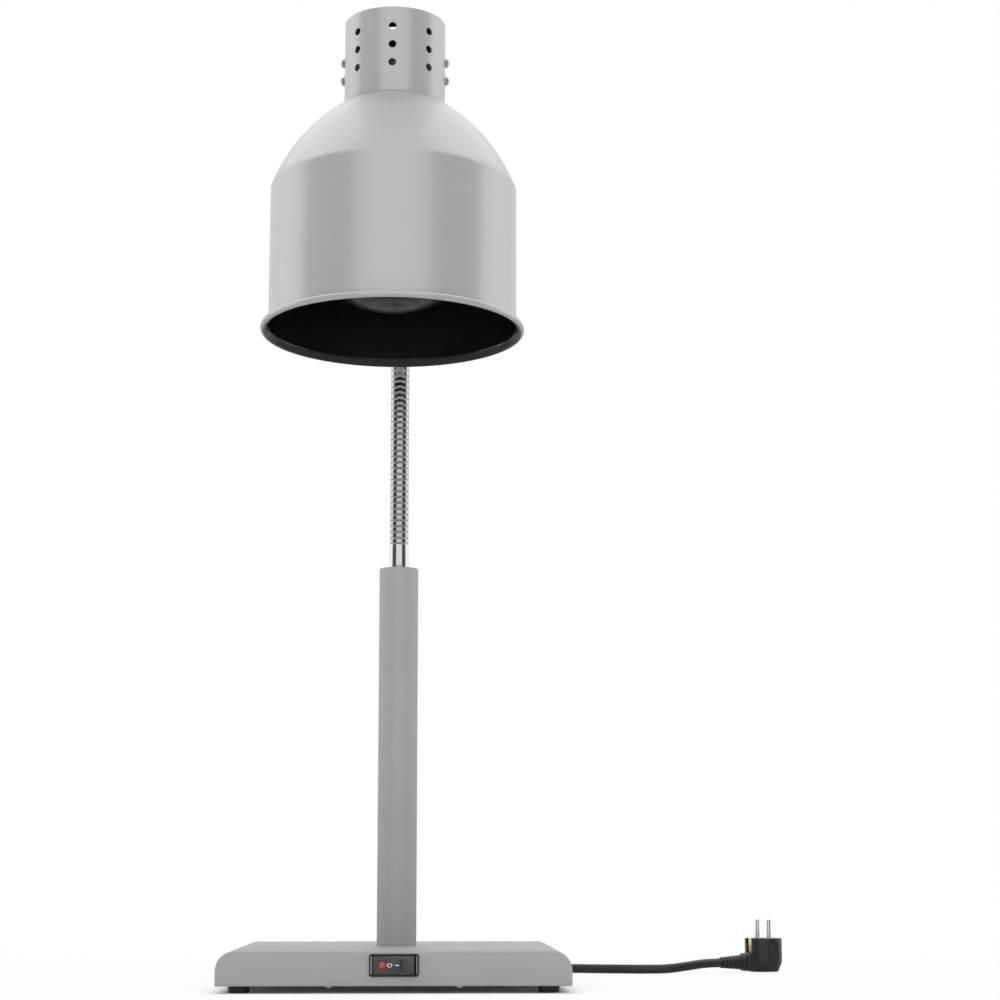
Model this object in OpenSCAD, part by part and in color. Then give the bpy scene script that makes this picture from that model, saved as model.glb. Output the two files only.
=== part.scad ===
// Food warming lamp: a shade with a heat bulb on a gooseneck, a column and a flat base.
// Millimetres, Z up. The origin is on the table, under the middle of the base.
// The head's own frame has its origin at the middle of the rim and its Z along the shade's axis.

/* [Base] */
// Width of the base, left to right
base_w = 300; // [240:1:360]
// Depth of the base, front to back
base_d = 300; // [240:1:360]
// Height of the sheet cover above the feet
cover_h = 29; // [24:0.5:45]
// Sheet thickness of the cover
cover_wall = 1.5; // [1:0.1:3]
// Radius of the cover's two rounded upper edges
cover_r = 16; // [6:0.5:20]
// Thickness of the bottom plate
plate_t = 2; // [1.5:0.1:4]
// Side of the square plate that stiffens the cover under the column
stiffener_w = 90; // [60:1:140]
// Thickness of that stiffener
stiffener_t = 3; // [2:0.5:5]
// Distance of the plate screws from the middle, left and right
plate_screw_x = 55; // [40:1:90]
// Thread diameter of the plate screws
plate_screw_d = 4; // [3:0.5:5]
// Width of the small tabs that the plate screws enter
tab_w = 14; // [10:1:20]

/* [Feet] */
// Height of a rubber foot
foot_h = 6; // [4:0.5:12]
// Diameter of a rubber foot
foot_d = 18; // [14:0.5:24]
// Distance of a foot's centre from the base's edges
foot_inset = 19; // [14:0.5:30]
// Thread diameter of the screw in a foot
foot_screw_d = 4; // [3:0.5:5]
// Diameter of the post that a foot screw enters
foot_post_d = 9; // [8:0.5:12]

/* [Column] */
// Distance of the column behind the base's middle
column_y = 18; // [0:1:60]
// Outer diameter of the column
column_d = 36; // [30:0.5:45]
// Wall of the column tube
column_wall = 1.5; // [1:0.1:3]
// Length of the column above the base
column_len = 345; // [250:1:450]
// Height of the plug in the column's foot
foot_plug_h = 12; // [8:0.5:20]
// Height of the bush in the column's top
top_bush_h = 12; // [8:0.5:20]
// Outer diameter of the threaded nipple and spigots
nipple_d = 10; // [8:0.5:12]
// Bore of the nipple, for the lead
nipple_bore = 7.4; // [6:0.1:8]
// Height of the nipple's locknut
nipple_nut_h = 4; // [3:0.5:8]
// Width across the flats of the locknuts
nut_flats = 17; // [14:0.5:22]
// Diameter of the lead inside the column
lead_d = 6.8; // [5:0.1:7]

/* [Gooseneck] */
// Outer diameter of the gooseneck
neck_d = 17.5; // [14:0.5:22]
// Bore of the gooseneck
neck_bore = 10; // [6:0.5:11]
// Distance from one bead of the gooseneck to the next
bead_pitch = 5.5; // [4:0.1:8]
// Width of the groove between two beads
groove_w = 1.2; // [0.6:0.1:2]
// Depth of the groove between two beads
groove_depth = 0.6; // [0.3:0.1:1]
// Beads below the first bending place
first_beads = 4; // [3:1:6]
// Beads between two bending places
link_beads = 6; // [5:1:7]
// Gap between a ball and its cup at a bending place
ball_gap = 0.3; // [0.2:0.05:0.4]
// Diameter of the two smooth ferrules
ferrule_d = 18; // [15:0.5:24]
// Length of the lower ferrule
lower_ferrule_len = 23; // [15:0.5:40]
// Length of the upper ferrule
upper_ferrule_len = 25; // [15:0.5:35]
// Length of a ferrule's threaded spigot
spigot_len = 11; // [8:0.5:11.5]

/* [Head] */
// Distance from the column's axis forward to the middle of the rim
reach = 140; // [138:1:160]
// Height of the rim's middle above the table
rim_z = 575.2; // [560:0.1:640]
// Backward lean of the shade's axis, in degrees
head_tilt = 2.7; // [0:0.1:5]
// Turn of the arm to the left, in degrees
head_turn = 2.3; // [0:0.1:5]
// Outer radius of the shade's straight wall
shade_r = 110; // [90:0.5:112]
// Sheet thickness of the shade and the collar
shade_wall = 1.2; // [0.8:0.1:2]
// Height of the shade's straight wall above the rim
shade_wall_h = 128.7; // [110:0.1:150]
// Radius of the dome's arc
dome_r = 164; // [150:0.5:200]
// Slope of the dome where it leaves the wall, in degrees from upright
dome_slope = 20.7; // [10:0.1:30]
// Radius of the rolled edge at the rim
rim_bead_r = 3; // [2:0.1:5]
// Distance of the rolled edge's centre outside the wall
rim_flare = 4; // [3:0.1:6]

/* [Collar] */
// Outer radius of the collar
collar_r = 45.5; // [43:0.5:55]
// Height of the collar above the dome
collar_h = 79; // [76:0.5:95]
// Length of the shade's neck inside the collar
collar_lap = 10; // [6:0.5:12]
// Diameter of a vent hole
vent_d = 7; // [4:0.5:9]
// Distance from the collar's top edge to the first row of holes
vent_top = 18.5; // [15:0.5:22]
// Distance between two rows of holes
vent_pitch = 17.1; // [14:0.1:18]
// Depth of the top plate below the collar's edge
top_plate_drop = 5; // [3:0.5:8]
// Radius of the hole in the top plate
top_plate_hole = 13.5; // [8:0.5:20]

/* [Bulb and holder] */
// Largest diameter of the bulb
bulb_d = 125; // [110:1:126]
// Depth of the bulb's cap below the collar's top edge
cap_drop = 87.5; // [84:0.5:92]
// Length of the bulb with its cap
bulb_len = 181; // [175:0.5:190]
// Radius of the bulb's domed face
bulb_face_r = 88; // [75:0.5:100]
// Glass thickness of the bulb
bulb_wall = 1.5; // [1:0.1:2]
// Outer diameter of the bulb's screw cap
cap_d = 26.4; // [26:0.1:27]
// Length of the bulb's screw cap
cap_len = 27; // [24:0.5:30]
// Outer diameter of the ceramic holder
holder_d = 44; // [40:0.5:48]
// Depth of the holder's socket
socket_depth = 22; // [18:0.5:24]
// Height of ceramic above the socket
holder_head = 24; // [20:0.5:26]
// Wall of the brass shell in the holder
shell_wall = 0.5; // [0.4:0.1:1]
// Gap between the bulb's cap and the brass shell
cap_gap = 0.3; // [0.1:0.05:0.5]
// Strip thickness of the holder's bracket
bracket_t = 1.5; // [1:0.1:3]
// Strip width of the holder's bracket
bracket_w = 16; // [12:0.5:20]
// Thread diameter of the bracket screws
bracket_screw_d = 4; // [3:0.5:5]
// Head diameter of the bracket screws
bracket_head_d = 9.5; // [7:0.5:12]
// Height of a bracket screw's domed head
bracket_head_h = 4; // [2:0.5:5]

/* [Switch] */
// Distance from the base's top down to the middle of the switch
switch_drop = 11.7; // [11:0.1:14]
// Width of the switch frame
switch_w = 42; // [36:0.5:50]
// Height of the switch frame
switch_h = 19; // [16:0.5:20]
// How far the frame stands out of the base
switch_proud = 1.6; // [1:0.1:3]
// Width of the frame's border
switch_border = 1.4; // [1.2:0.1:2]
// Depth of the switch behind the cover
switch_depth = 20; // [15:0.5:30]
// Gap round the rocker in its frame
rocker_gap = 0.4; // [0.3:0.05:0.6]
// Width of the rocker
rocker_w = 35.6; // [30:0.1:37]
// Tilt of the rocker at rest, in degrees, with its O side pressed
rocker_tilt = 7; // [4:0.5:8]
// Radius of the rocker's red lens
lens_r = 3.1; // [2:0.1:4]
// Distance of the lens to the left of the rocker's middle
lens_x = 9.6; // [8:0.1:12]
// Distance of the rocker's finger ridge to the right of its middle
ridge_x = 6.8; // [5:0.1:9]
// Radius of the rocker's pivot pins
rocker_pin_r = 1.2; // [0.8:0.1:1.5]

/* [Cord and plug] */
// Diameter of the cord
cord_d = 9; // [7:0.1:9]
// Distance of the cord's exit to the right of the middle
cord_x = 40; // [40:1:40]
// Height of the cord's exit above the table
cord_z = 20; // [20:1:20]
// Length of the gland outside the cover
gland_len = 8; // [6:0.5:12]
// Diameter of the gland
gland_d = 20; // [18:0.5:24]
// Length of the tapered sleeve on the gland
boot_len = 30; // [20:0.5:30]
// Diameter of the plug's round face
plug_d = 38; // [36:0.5:42]
// Thickness of the plug from its back to its face
plug_t = 34; // [30:0.5:38]
// Diameter of a plug pin
pin_d = 4.8; // [4.8:0.1:4.8]
// Length of a plug pin
pin_len = 19; // [19:0.1:19]
// Distance between the two plug pins
pin_pitch = 19; // [19:0.1:19]
// Length of the ribbed sleeve on the plug
plug_boot_len = 30; // [20:0.5:40]

/* [Hidden] */
$fn = 48;

// A cut reaches this far past the face that it opens
past = 1;
// Clearance of a screw or spigot in its hole, on the radius
fit = 0.05;

top_z = foot_h + cover_h;
front_y = -base_d / 2;
rear_y = base_d / 2;
column_top = top_z + column_len;
column_in = column_d / 2 - column_wall;
foot_x = base_w / 2 - foot_inset;
foot_y = base_d / 2 - foot_inset;
under_top = top_z - cover_wall;
plate_top = foot_h + plate_t;
screw_head_h = 1.6;
tab_t = 3;
tab_y = base_d / 2 - cover_wall - tab_w / 2;

// Lower end of the nipple, with half a nut's height of thread below the locknut
nut_top = under_top - stiffener_t;
nipple_low = nut_top - nipple_nut_h - 2;

// The dome is an arc from the wall to the collar.
dome_cr = shade_r - dome_r * cos(dome_slope);
dome_ch = shade_wall_h - dome_r * sin(dome_slope);
dome_steps = 12;
function dome_end() = acos((collar_r - dome_cr) / dome_r);
function dome_h(a) = dome_ch + dome_r * sin(a);
function dome_arc(r) = [for (i = [0:dome_steps])
    let (a = dome_slope + (dome_end() - dome_slope) * i / dome_steps)
    [dome_cr + r * cos(a), dome_ch + r * sin(a)]];

// The gooseneck runs straight up, then bends forward into the back of the collar.
neck_r = neck_d / 2;
neck_low = column_top + lower_ferrule_len;
shade_h = dome_h(dome_end()) + collar_h;
vent_h = [for (row = [0:2]) shade_h - vent_top - row * vent_pitch];
entry_h = vent_h[1];
entry_y = -reach + collar_r * cos(head_tilt) + entry_h * sin(head_tilt);
entry_z = rim_z - collar_r * sin(head_tilt) + entry_h * cos(head_tilt);
bend_r = (-entry_y - upper_ferrule_len * cos(head_tilt)) / (1 - sin(head_tilt));
bend_angle = 90 - head_tilt;
bend_z = entry_z - upper_ferrule_len * sin(head_tilt) - bend_r * cos(head_tilt);
bead_angle = bead_pitch / bend_r * 180 / PI;
groove_angle = groove_w / bend_r * 180 / PI;
function pivot_z(i) = neck_low + (first_beads + i * link_beads) * bead_pitch;
// The last two bending places lie in the bend, this many beads after its start
bend_pivot_beads = [8, 15];
function bend_point(a) = [0, -bend_r * (1 - cos(a)), bend_z + bend_r * sin(a)];

// Bulb and holder, measured up the shade's axis
cap_top = shade_h - cap_drop;
bulb_low = cap_top - bulb_len;
cap_low = cap_top - cap_len;
shell_r = cap_d / 2 + cap_gap + shell_wall;
holder_low = cap_top - socket_depth;
holder_top = cap_top + holder_head;
bulb_centre = bulb_low + bulb_face_r;
bulb_waist = bulb_low + bulb_d * 0.528;
bulb_neck_r = 13;
collar_in = collar_r - shade_wall;
bracket_x = sqrt(collar_in * collar_in - bracket_w * bracket_w / 4);
bracket_top = vent_h[1] + 8;
bracket_nut_t = 3;
bracket_nut_flats = 7;
holder_screw_x = 14;

// Switch
switch_mid_z = top_z - switch_drop;
opening_w = switch_w - 2 * switch_border;
opening_h = switch_h - 2 * switch_border;
switch_wall = 0.7;
rocker_h = opening_h - 2 * rocker_gap;
rocker_front = front_y - switch_proud - 1.6;
rocker_pivot_y = front_y + 3.2;
ridge_w = 1.6;
ridge_len = 9;
terminal_x = 12;
terminal_len = 9;

// Plug, lying on its back beside the base
plug_pos = [375, 300, 0];
plug_turn = 30;
plug_cord_z = 10;
plug_reach = 26;
clip_len = 14;

// Route of the cord on the table, from the sleeve on the gland to the sleeve on the plug
cord_route = [
    [40, 188, 20], [40, 200, 19], [40, 213, 16], [41, 227, 11], [44, 241, 6.5], [51, 255, 4.6],
    [63, 267, 4.6], [79, 276, 4.6], [98, 281, 4.6], [120, 282, 4.6], [143, 278, 4.6],
    [165, 271, 4.6], [187, 263, 4.6], [208, 256, 4.6], [229, 250, 4.6], [250, 247, 4.6],
    [270, 248, 5], [289, 253.5, 7], [308, 262, 9.3], [326.5, 272, 10]
];
cord_sides = 10;
cord_steps = 2;

// Places a shape in the plane of the arm, with its origin under the column
module on_arm() {
    translate([0, column_y, 0]) rotate([0, 0, -head_turn]) children();
}

// Places a shape in the head's own frame
module in_head() {
    on_arm() translate([0, -reach, rim_z]) rotate([-head_tilt, 0, 0]) children();
}

module tube(r_out, r_in, h) {
    difference() {
        cylinder(r = r_out, h = h);
        translate([0, 0, -past]) cylinder(r = r_in, h = h + 2 * past);
    }
}

module hex_nut(flats, bore_r, h) {
    difference() {
        cylinder(r = flats / 2 / cos(30), h = h, $fn = 6);
        translate([0, 0, -past]) cylinder(r = bore_r, h = h + 2 * past);
    }
}

// A smooth curve through the route's points
function curve_point(p, i, t) = let (
        a = p[max(i - 1, 0)], b = p[i], c = p[i + 1], d = p[min(i + 2, len(p) - 1)])
    0.5 * (2 * b + (c - a) * t + (2 * a - 5 * b + 4 * c - d) * t * t
        + (3 * b - a - 3 * c + d) * t * t * t);
function curve(p, steps) = concat(
    [for (i = [0:len(p) - 2]) for (s = [0:steps - 1]) curve_point(p, i, s / steps)],
    [p[len(p) - 1]]);
function unit(v) = v / norm(v);
function heading(p, i) = unit(p[min(i + 1, len(p) - 1)] - p[max(i - 1, 0)]);

// The route is never parallel to the direction called across
module swept_tube(p, d, sides, across) {
    n = len(p);
    rings = [for (i = [0:n - 1]) let (
            t = heading(p, i), s = unit(cross(t, across)), u = cross(s, t))
        for (k = [0:sides - 1]) let (a = 360 * (k + 0.5) / sides)
            p[i] + d / 2 * (cos(a) * s + sin(a) * u)];
    walls = [for (i = [0:n - 2]) for (k = [0:sides - 1]) let (m = (k + 1) % sides)
        [i * sides + k, i * sides + m, (i + 1) * sides + m, (i + 1) * sides + k]];
    polyhedron(rings, concat(
        [[for (k = [sides - 1:-1:0]) k]], walls, [[for (k = [0:sides - 1]) (n - 1) * sides + k]]));
}

// An insulated wire through a short list of points; no stretch of it runs along X
module wire(points, d) {
    swept_tube(curve(points, 2), d, 8, [1, 0, 0]);
}

// Base

module cover_profile(w, h, r) {
    translate([-w / 2, 0]) square([w, h - r]);
    translate([-w / 2 + r, 0]) square([w - 2 * r, h]);
    for (side = [-1, 1]) intersection() {
        translate([side * (w / 2 - r), h - r]) circle(r);
        translate([side * (w / 2 - r / 2) - r / 2, h - r]) square([r, r]);
    }
}

module cover_solid(w, d, h, r) {
    translate([0, d / 2, foot_h]) rotate([90, 0, 0]) linear_extrude(d) cover_profile(w, h, r);
}

module base_cover() {
    color("silver") {
        difference() {
            cover_solid(base_w, base_d, cover_h, cover_r);
            translate([0, 0, -past]) cover_solid(base_w - 2 * cover_wall, base_d - 2 * cover_wall,
                cover_h - cover_wall + past, cover_r - cover_wall);
            translate([0, column_y, under_top - past])
                cylinder(r = nipple_d / 2 + fit, h = cover_wall + 2 * past);
            translate([-opening_w / 2 - switch_wall, front_y - past,
                switch_mid_z - opening_h / 2 - switch_wall])
                cube([opening_w + 2 * switch_wall, cover_wall + 2 * past, opening_h + 2 * switch_wall]);
            translate([cord_x, rear_y - cover_wall - past, cord_z]) rotate([-90, 0, 0])
                cylinder(r = gland_d / 2 - 3 + fit, h = cover_wall + 2 * past);
        }
        // posts for the foot screws
        for (x = [-foot_x, foot_x], y = [-foot_y, foot_y]) translate([x, y, plate_top])
            difference() {
                cylinder(d = foot_post_d, h = under_top - plate_top);
                translate([0, 0, -past]) cylinder(d = foot_screw_d + 2 * fit, h = 9 + past);
            }
        // tabs for the plate screws
        for (x = [-plate_screw_x, plate_screw_x], y = [-tab_y, tab_y]) translate([x, y, plate_top])
            difference() {
                translate([-tab_w / 2, -tab_w / 2, 0]) cube([tab_w, tab_w, tab_t]);
                translate([0, 0, -past]) cylinder(d = plate_screw_d + 2 * fit, h = tab_t + 2 * past);
            }
    }
}

module bottom_plate() {
    gap = 0.3;
    w = base_w - 2 * cover_wall - 2 * gap;
    d = base_d - 2 * cover_wall - 2 * gap;
    color("dimgray") difference() {
        translate([-w / 2, -d / 2, foot_h]) cube([w, d, plate_t]);
        for (x = [-foot_x, foot_x], y = [-foot_y, foot_y]) translate([x, y, foot_h - past])
            cylinder(d = foot_screw_d + 2 * fit, h = plate_t + 2 * past);
        for (x = [-plate_screw_x, plate_screw_x], y = [-tab_y, tab_y])
            translate([x, y, foot_h - past]) cylinder(d = plate_screw_d + 2 * fit, h = plate_t + 2 * past);
    }
}

module plate_screws() {
    color("gainsboro") for (x = [-plate_screw_x, plate_screw_x], y = [-tab_y, tab_y])
        translate([x, y, foot_h - screw_head_h]) {
            cylinder(d1 = plate_screw_d * 1.4, d2 = plate_screw_d * 1.9, h = screw_head_h);
            cylinder(d = plate_screw_d, h = screw_head_h + plate_t + tab_t + 0.5);
        }
}

module rubber_feet() {
    color("black") for (x = [-foot_x, foot_x], y = [-foot_y, foot_y]) translate([x, y, 0])
        difference() {
            union() {
                cylinder(d1 = foot_d - 2, d2 = foot_d, h = 1);
                translate([0, 0, 1]) cylinder(d = foot_d, h = foot_h - 1);
            }
            translate([0, 0, -past]) cylinder(d = foot_screw_d * 2.2, h = foot_h - 3 + past);
            translate([0, 0, -past]) cylinder(d = foot_screw_d + 2 * fit, h = foot_h + 2 * past);
        }
}

module foot_screws() {
    color("silver") for (x = [-foot_x, foot_x], y = [-foot_y, foot_y])
        translate([x, y, foot_h - 3 - screw_head_h]) {
            cylinder(d = foot_screw_d * 2, h = screw_head_h);
            cylinder(d = foot_screw_d, h = screw_head_h + 3 + plate_t + 8);
        }
}

module stiffener_plate() {
    color("gray") translate([0, column_y, under_top - stiffener_t]) difference() {
        translate([-stiffener_w / 2, -stiffener_w / 2, 0])
            cube([stiffener_w, stiffener_w, stiffener_t]);
        translate([0, 0, -past]) cylinder(r = nipple_d / 2 + fit, h = stiffener_t + 2 * past);
    }
}

// Column

module column() {
    color("silver") translate([0, column_y, top_z]) tube(column_d / 2, column_in, column_len);
}

module column_foot_plug() {
    color("gray") translate([0, column_y, top_z]) tube(column_in, nipple_d / 2 + fit, foot_plug_h);
}

module threaded_nipple() {
    color("goldenrod") translate([0, column_y, nipple_low])
        tube(nipple_d / 2, nipple_bore / 2, top_z + foot_plug_h - nipple_low);
}

module nipple_nut() {
    color("goldenrod") translate([0, column_y, nut_top - nipple_nut_h])
        hex_nut(nut_flats, nipple_d / 2 + fit, nipple_nut_h);
}

module column_top_bush() {
    color("gray") translate([0, column_y, column_top - top_bush_h])
        tube(column_in, nipple_d / 2 + fit, top_bush_h);
}

module column_lead() {
    color("black") translate([0, column_y, nipple_low - 3])
        cylinder(d = lead_d, h = neck_low - nipple_low + 3);
}

// Gooseneck

module lower_ferrule() {
    color("gainsboro") on_arm() difference() {
        union() {
            translate([0, 0, column_top]) cylinder(d = ferrule_d, h = lower_ferrule_len);
            translate([0, 0, column_top - spigot_len]) cylinder(d = nipple_d, h = spigot_len + past);
        }
        translate([0, 0, column_top - spigot_len - past])
            cylinder(d = nipple_bore, h = lower_ferrule_len + spigot_len + 2 * past);
    }
}

// Outline of a straight stretch of beads, from its bore outward
function bead_outline(len) = let (n = floor(len / bead_pitch + 0.001)) concat(
    [[neck_bore / 2, 0]],
    [for (i = [0:n - 1]) each [
        [neck_r, i * bead_pitch], [neck_r, (i + 1) * bead_pitch - groove_w],
        [neck_r - groove_depth, (i + 1) * bead_pitch - groove_w * 0.7],
        [neck_r - groove_depth, (i + 1) * bead_pitch - groove_w * 0.3]]],
    [[neck_r, n * bead_pitch], [neck_r, len], [neck_bore / 2, len]]);

module straight_beads(z, len) {
    translate([0, 0, z]) rotate_extrude() polygon(bead_outline(len));
}

// One stretch of the bend, from one angle to another
module bent_sector(r, from, to) {
    translate([0, -bend_r, bend_z]) rotate([90, 0, 90]) rotate([0, 0, from])
        rotate_extrude(angle = to - from) translate([bend_r, 0]) circle(r);
}

module bent_beads(from, to) {
    n = floor((to - from) / bead_angle + 0.001);
    bent_sector(neck_r - groove_depth, from, to);
    for (i = [0:n - 1])
        bent_sector(neck_r, from + i * bead_angle, from + (i + 1) * bead_angle - groove_angle);
}

module ball(p) {
    translate(p) sphere(neck_r - fit);
}

module cup(p) {
    translate(p) sphere(neck_r - fit + ball_gap);
}

module straight_bore(z, h) {
    translate([0, 0, z]) cylinder(d = neck_bore, h = h);
}

module gooseneck_base() {
    color("gainsboro") on_arm() difference() {
        union() {
            straight_beads(neck_low, pivot_z(0) - neck_low);
            ball([0, 0, pivot_z(0)]);
        }
        straight_bore(neck_low - past, pivot_z(0) - neck_low + neck_d);
    }
}

// One of the three short links between the bending places
module gooseneck_link(i) {
    color("gainsboro") on_arm() difference() {
        union() {
            straight_beads(pivot_z(i), pivot_z(i + 1) - pivot_z(i));
            ball([0, 0, pivot_z(i + 1)]);
        }
        cup([0, 0, pivot_z(i)]);
        straight_bore(pivot_z(i) - past, pivot_z(i + 1) - pivot_z(i) + neck_d);
    }
}

module gooseneck_1() { gooseneck_link(0); }

module gooseneck_2() { gooseneck_link(1); }

module gooseneck_3() { gooseneck_link(2); }

// The long link: straight up behind the shade, then into the bend
module gooseneck_4() {
    bend_end = bend_pivot_beads[0] * bead_angle;
    color("gainsboro") on_arm() difference() {
        union() {
            straight_beads(pivot_z(3), bend_z - pivot_z(3));
            bent_beads(0, bend_end);
            ball(bend_point(bend_end));
        }
        cup([0, 0, pivot_z(3)]);
        straight_bore(pivot_z(3) - past, bend_z - pivot_z(3) + past);
        bent_sector(neck_bore / 2, 0, bend_end + bead_angle * 2);
    }
}

module gooseneck_5() {
    bend_start = bend_pivot_beads[0] * bead_angle;
    bend_end = bend_pivot_beads[1] * bead_angle;
    color("gainsboro") on_arm() difference() {
        union() {
            bent_beads(bend_start, bend_end);
            ball(bend_point(bend_end));
        }
        cup(bend_point(bend_start));
        bent_sector(neck_bore / 2, bend_start - bead_angle, bend_end + bead_angle * 2);
    }
}

module gooseneck_tip() {
    bend_start = bend_pivot_beads[1] * bead_angle;
    color("gainsboro") on_arm() difference() {
        bent_beads(bend_start, bend_angle);
        cup(bend_point(bend_start));
        bent_sector(neck_bore / 2, bend_start - bead_angle, bend_angle + bead_angle);
    }
}

module upper_ferrule() {
    reach_in = 1.5;
    color("gainsboro") in_head() translate([0, collar_r + upper_ferrule_len, entry_h])
        rotate([90, 0, 0]) difference() {
            union() {
                difference() {
                    cylinder(d = ferrule_d, h = upper_ferrule_len + reach_in);
                    translate([0, 0, upper_ferrule_len + collar_r]) rotate([90, 0, 0])
                        cylinder(r = collar_r, h = 2 * ferrule_d, center = true);
                }
                cylinder(d = nipple_d, h = upper_ferrule_len + spigot_len);
            }
            translate([0, 0, -past])
                cylinder(d = nipple_bore, h = upper_ferrule_len + spigot_len + 2 * past);
        }
}

module collar_nut() {
    half = nut_flats / 2 / cos(30);
    seat = sqrt(collar_in * collar_in - half * half);
    color("goldenrod") in_head() translate([0, seat, entry_h]) rotate([90, 0, 0]) rotate([0, 0, 30])
        hex_nut(nut_flats, nipple_d / 2 + fit, 4);
}

// Head

module shade() {
    arc_out = dome_arc(dome_r);
    arc_in = dome_arc(dome_r - shade_wall);
    neck_h = dome_h(dome_end());
    lap_r = collar_r - shade_wall - fit;
    last = len(arc_out) - 1;
    color("silver") in_head() rotate_extrude() {
        polygon(concat(
            [[shade_r, 0]], arc_out,
            [[lap_r, arc_out[last][1]], [lap_r, neck_h + collar_lap],
                [lap_r - shade_wall, neck_h + collar_lap], [lap_r - shade_wall, arc_in[last - 1][1]]],
            [for (i = [last - 1:-1:0]) arc_in[i]],
            [[shade_r - shade_wall, shade_wall_h], [shade_r - shade_wall, 0]]));
        translate([shade_r - shade_wall, -0.6]) square([rim_flare + shade_wall, shade_wall]);
        translate([shade_r + rim_flare, 0]) circle(rim_bead_r);
    }
}

module collar() {
    low = dome_h(dome_end());
    color("silver") in_head() difference() {
        translate([0, 0, low]) tube(collar_r, collar_in, collar_h);
        for (a = [-135, -45, 0, 45, 135], h = vent_h)
            rotate([0, 0, a]) translate([0, -collar_r - past, h]) rotate([-90, 0, 0])
                cylinder(d = vent_d, h = shade_wall + 2 * past + 1);
        for (side = [-1, 1], h = [vent_h[1], vent_h[2]])
            translate([side * collar_r, 0, h]) rotate([0, 90, 0])
                cylinder(d = bracket_screw_d + 2 * fit, h = 4 * shade_wall, center = true);
        translate([0, collar_r, entry_h]) rotate([90, 0, 0])
            cylinder(r = nipple_d / 2 + fit, h = 4 * shade_wall, center = true);
    }
}

module top_plate() {
    color("black") in_head() translate([0, 0, shade_h - top_plate_drop - shade_wall])
        tube(collar_in, top_plate_hole, shade_wall);
}

module holder_bracket() {
    color("gray") in_head() difference() {
        union() {
            translate([-bracket_x, -bracket_w / 2, holder_top])
                cube([2 * bracket_x, bracket_w, bracket_t]);
            for (side = [-1, 1])
                translate([side < 0 ? -bracket_x : bracket_x - bracket_t, -bracket_w / 2, holder_top])
                    cube([bracket_t, bracket_w, bracket_top - holder_top]);
        }
        for (h = [vent_h[1], vent_h[2]]) translate([0, 0, h]) rotate([0, 90, 0])
            cylinder(d = bracket_screw_d + 2 * fit, h = 2 * collar_r, center = true);
        for (x = [-holder_screw_x, holder_screw_x]) translate([x, 0, holder_top - past])
            cylinder(d = bracket_screw_d + 2 * fit, h = bracket_t + 2 * past);
        translate([0, 0, holder_top - past]) cylinder(d = nipple_bore, h = bracket_t + 2 * past);
    }
}

module bracket_screws() {
    reach_in = collar_r - bracket_x + bracket_t + bracket_nut_t + 1;
    dome_c = (bracket_head_d * bracket_head_d / 4 - bracket_head_h * bracket_head_h)
        / (2 * bracket_head_h);
    color("gainsboro") in_head() for (side = [-1, 1], h = [vent_h[1], vent_h[2]])
        translate([side * collar_r, 0, h]) rotate([0, side * 90, 0]) {
            intersection() {
                translate([0, 0, -dome_c]) sphere(bracket_head_h + dome_c);
                cylinder(d = bracket_head_d + past, h = bracket_head_h + past);
            }
            translate([0, 0, -reach_in]) cylinder(d = bracket_screw_d, h = reach_in + 1);
        }
}

module bracket_nuts() {
    color("silver") in_head() for (side = [-1, 1], h = [vent_h[1], vent_h[2]])
        translate([side * (bracket_x - bracket_t), 0, h]) rotate([0, -side * 90, 0])
            hex_nut(bracket_nut_flats, bracket_screw_d / 2 + fit, bracket_nut_t);
}

module lamp_holder() {
    color("ivory") in_head() difference() {
        union() {
            translate([0, 0, holder_low]) cylinder(d = holder_d, h = socket_depth + holder_head - 6);
            translate([0, 0, holder_top - 6]) cylinder(d1 = holder_d, d2 = holder_d - 6, h = 6);
        }
        translate([0, 0, holder_low - past]) cylinder(r = shell_r + fit, h = socket_depth + past + 2);
        for (x = [-holder_screw_x, holder_screw_x]) translate([x, 0, holder_top - 12])
            cylinder(d = bracket_screw_d + 2 * fit, h = 12 + past);
    }
}

module holder_shell() {
    thick = 1;
    color("goldenrod") in_head() {
        difference() {
            translate([0, 0, holder_low + 1]) cylinder(r = shell_r, h = socket_depth + 1);
            translate([0, 0, holder_low]) cylinder(r = shell_r - shell_wall, h = socket_depth + 2 - thick);
        }
        translate([0, 0, cap_top]) cylinder(r = 4, h = 2 - thick);
    }
}

module holder_screws() {
    color("gainsboro") in_head() for (x = [-holder_screw_x, holder_screw_x])
        translate([x, 0, holder_top + bracket_t]) {
            cylinder(d = bracket_screw_d * 1.9, h = 2);
            translate([0, 0, -bracket_t - 10]) cylinder(d = bracket_screw_d, h = bracket_t + 11);
        }
}

// Outline of the bulb's glass at one side of its wall: face, side, cone and neck
function bulb_outline(inset) = let (
        r = bulb_face_r - inset,
        side_r = bulb_d / 2 - inset,
        edge = asin(min(1, (side_r - 2) / r)))
    concat(
        [for (i = [0:10]) let (a = edge * i / 10) [r * sin(a), bulb_centre - r * cos(a)]],
        [[side_r, bulb_centre - r * cos(edge) + 7], [side_r, bulb_waist + 2],
            [side_r - 3, bulb_waist + 16], [side_r - 22, bulb_waist + 46],
            [side_r - 36, bulb_waist + 66], [bulb_neck_r + 5 - inset, cap_low - 8],
            [bulb_neck_r - inset, cap_low], [bulb_neck_r - inset, cap_low + 12]]);

module bulb_glass() {
    inner = bulb_outline(bulb_wall);
    color("whitesmoke") in_head() rotate_extrude()
        polygon(concat(bulb_outline(0), [for (i = [len(inner) - 1:-1:0]) inner[i]]));
}

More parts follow.
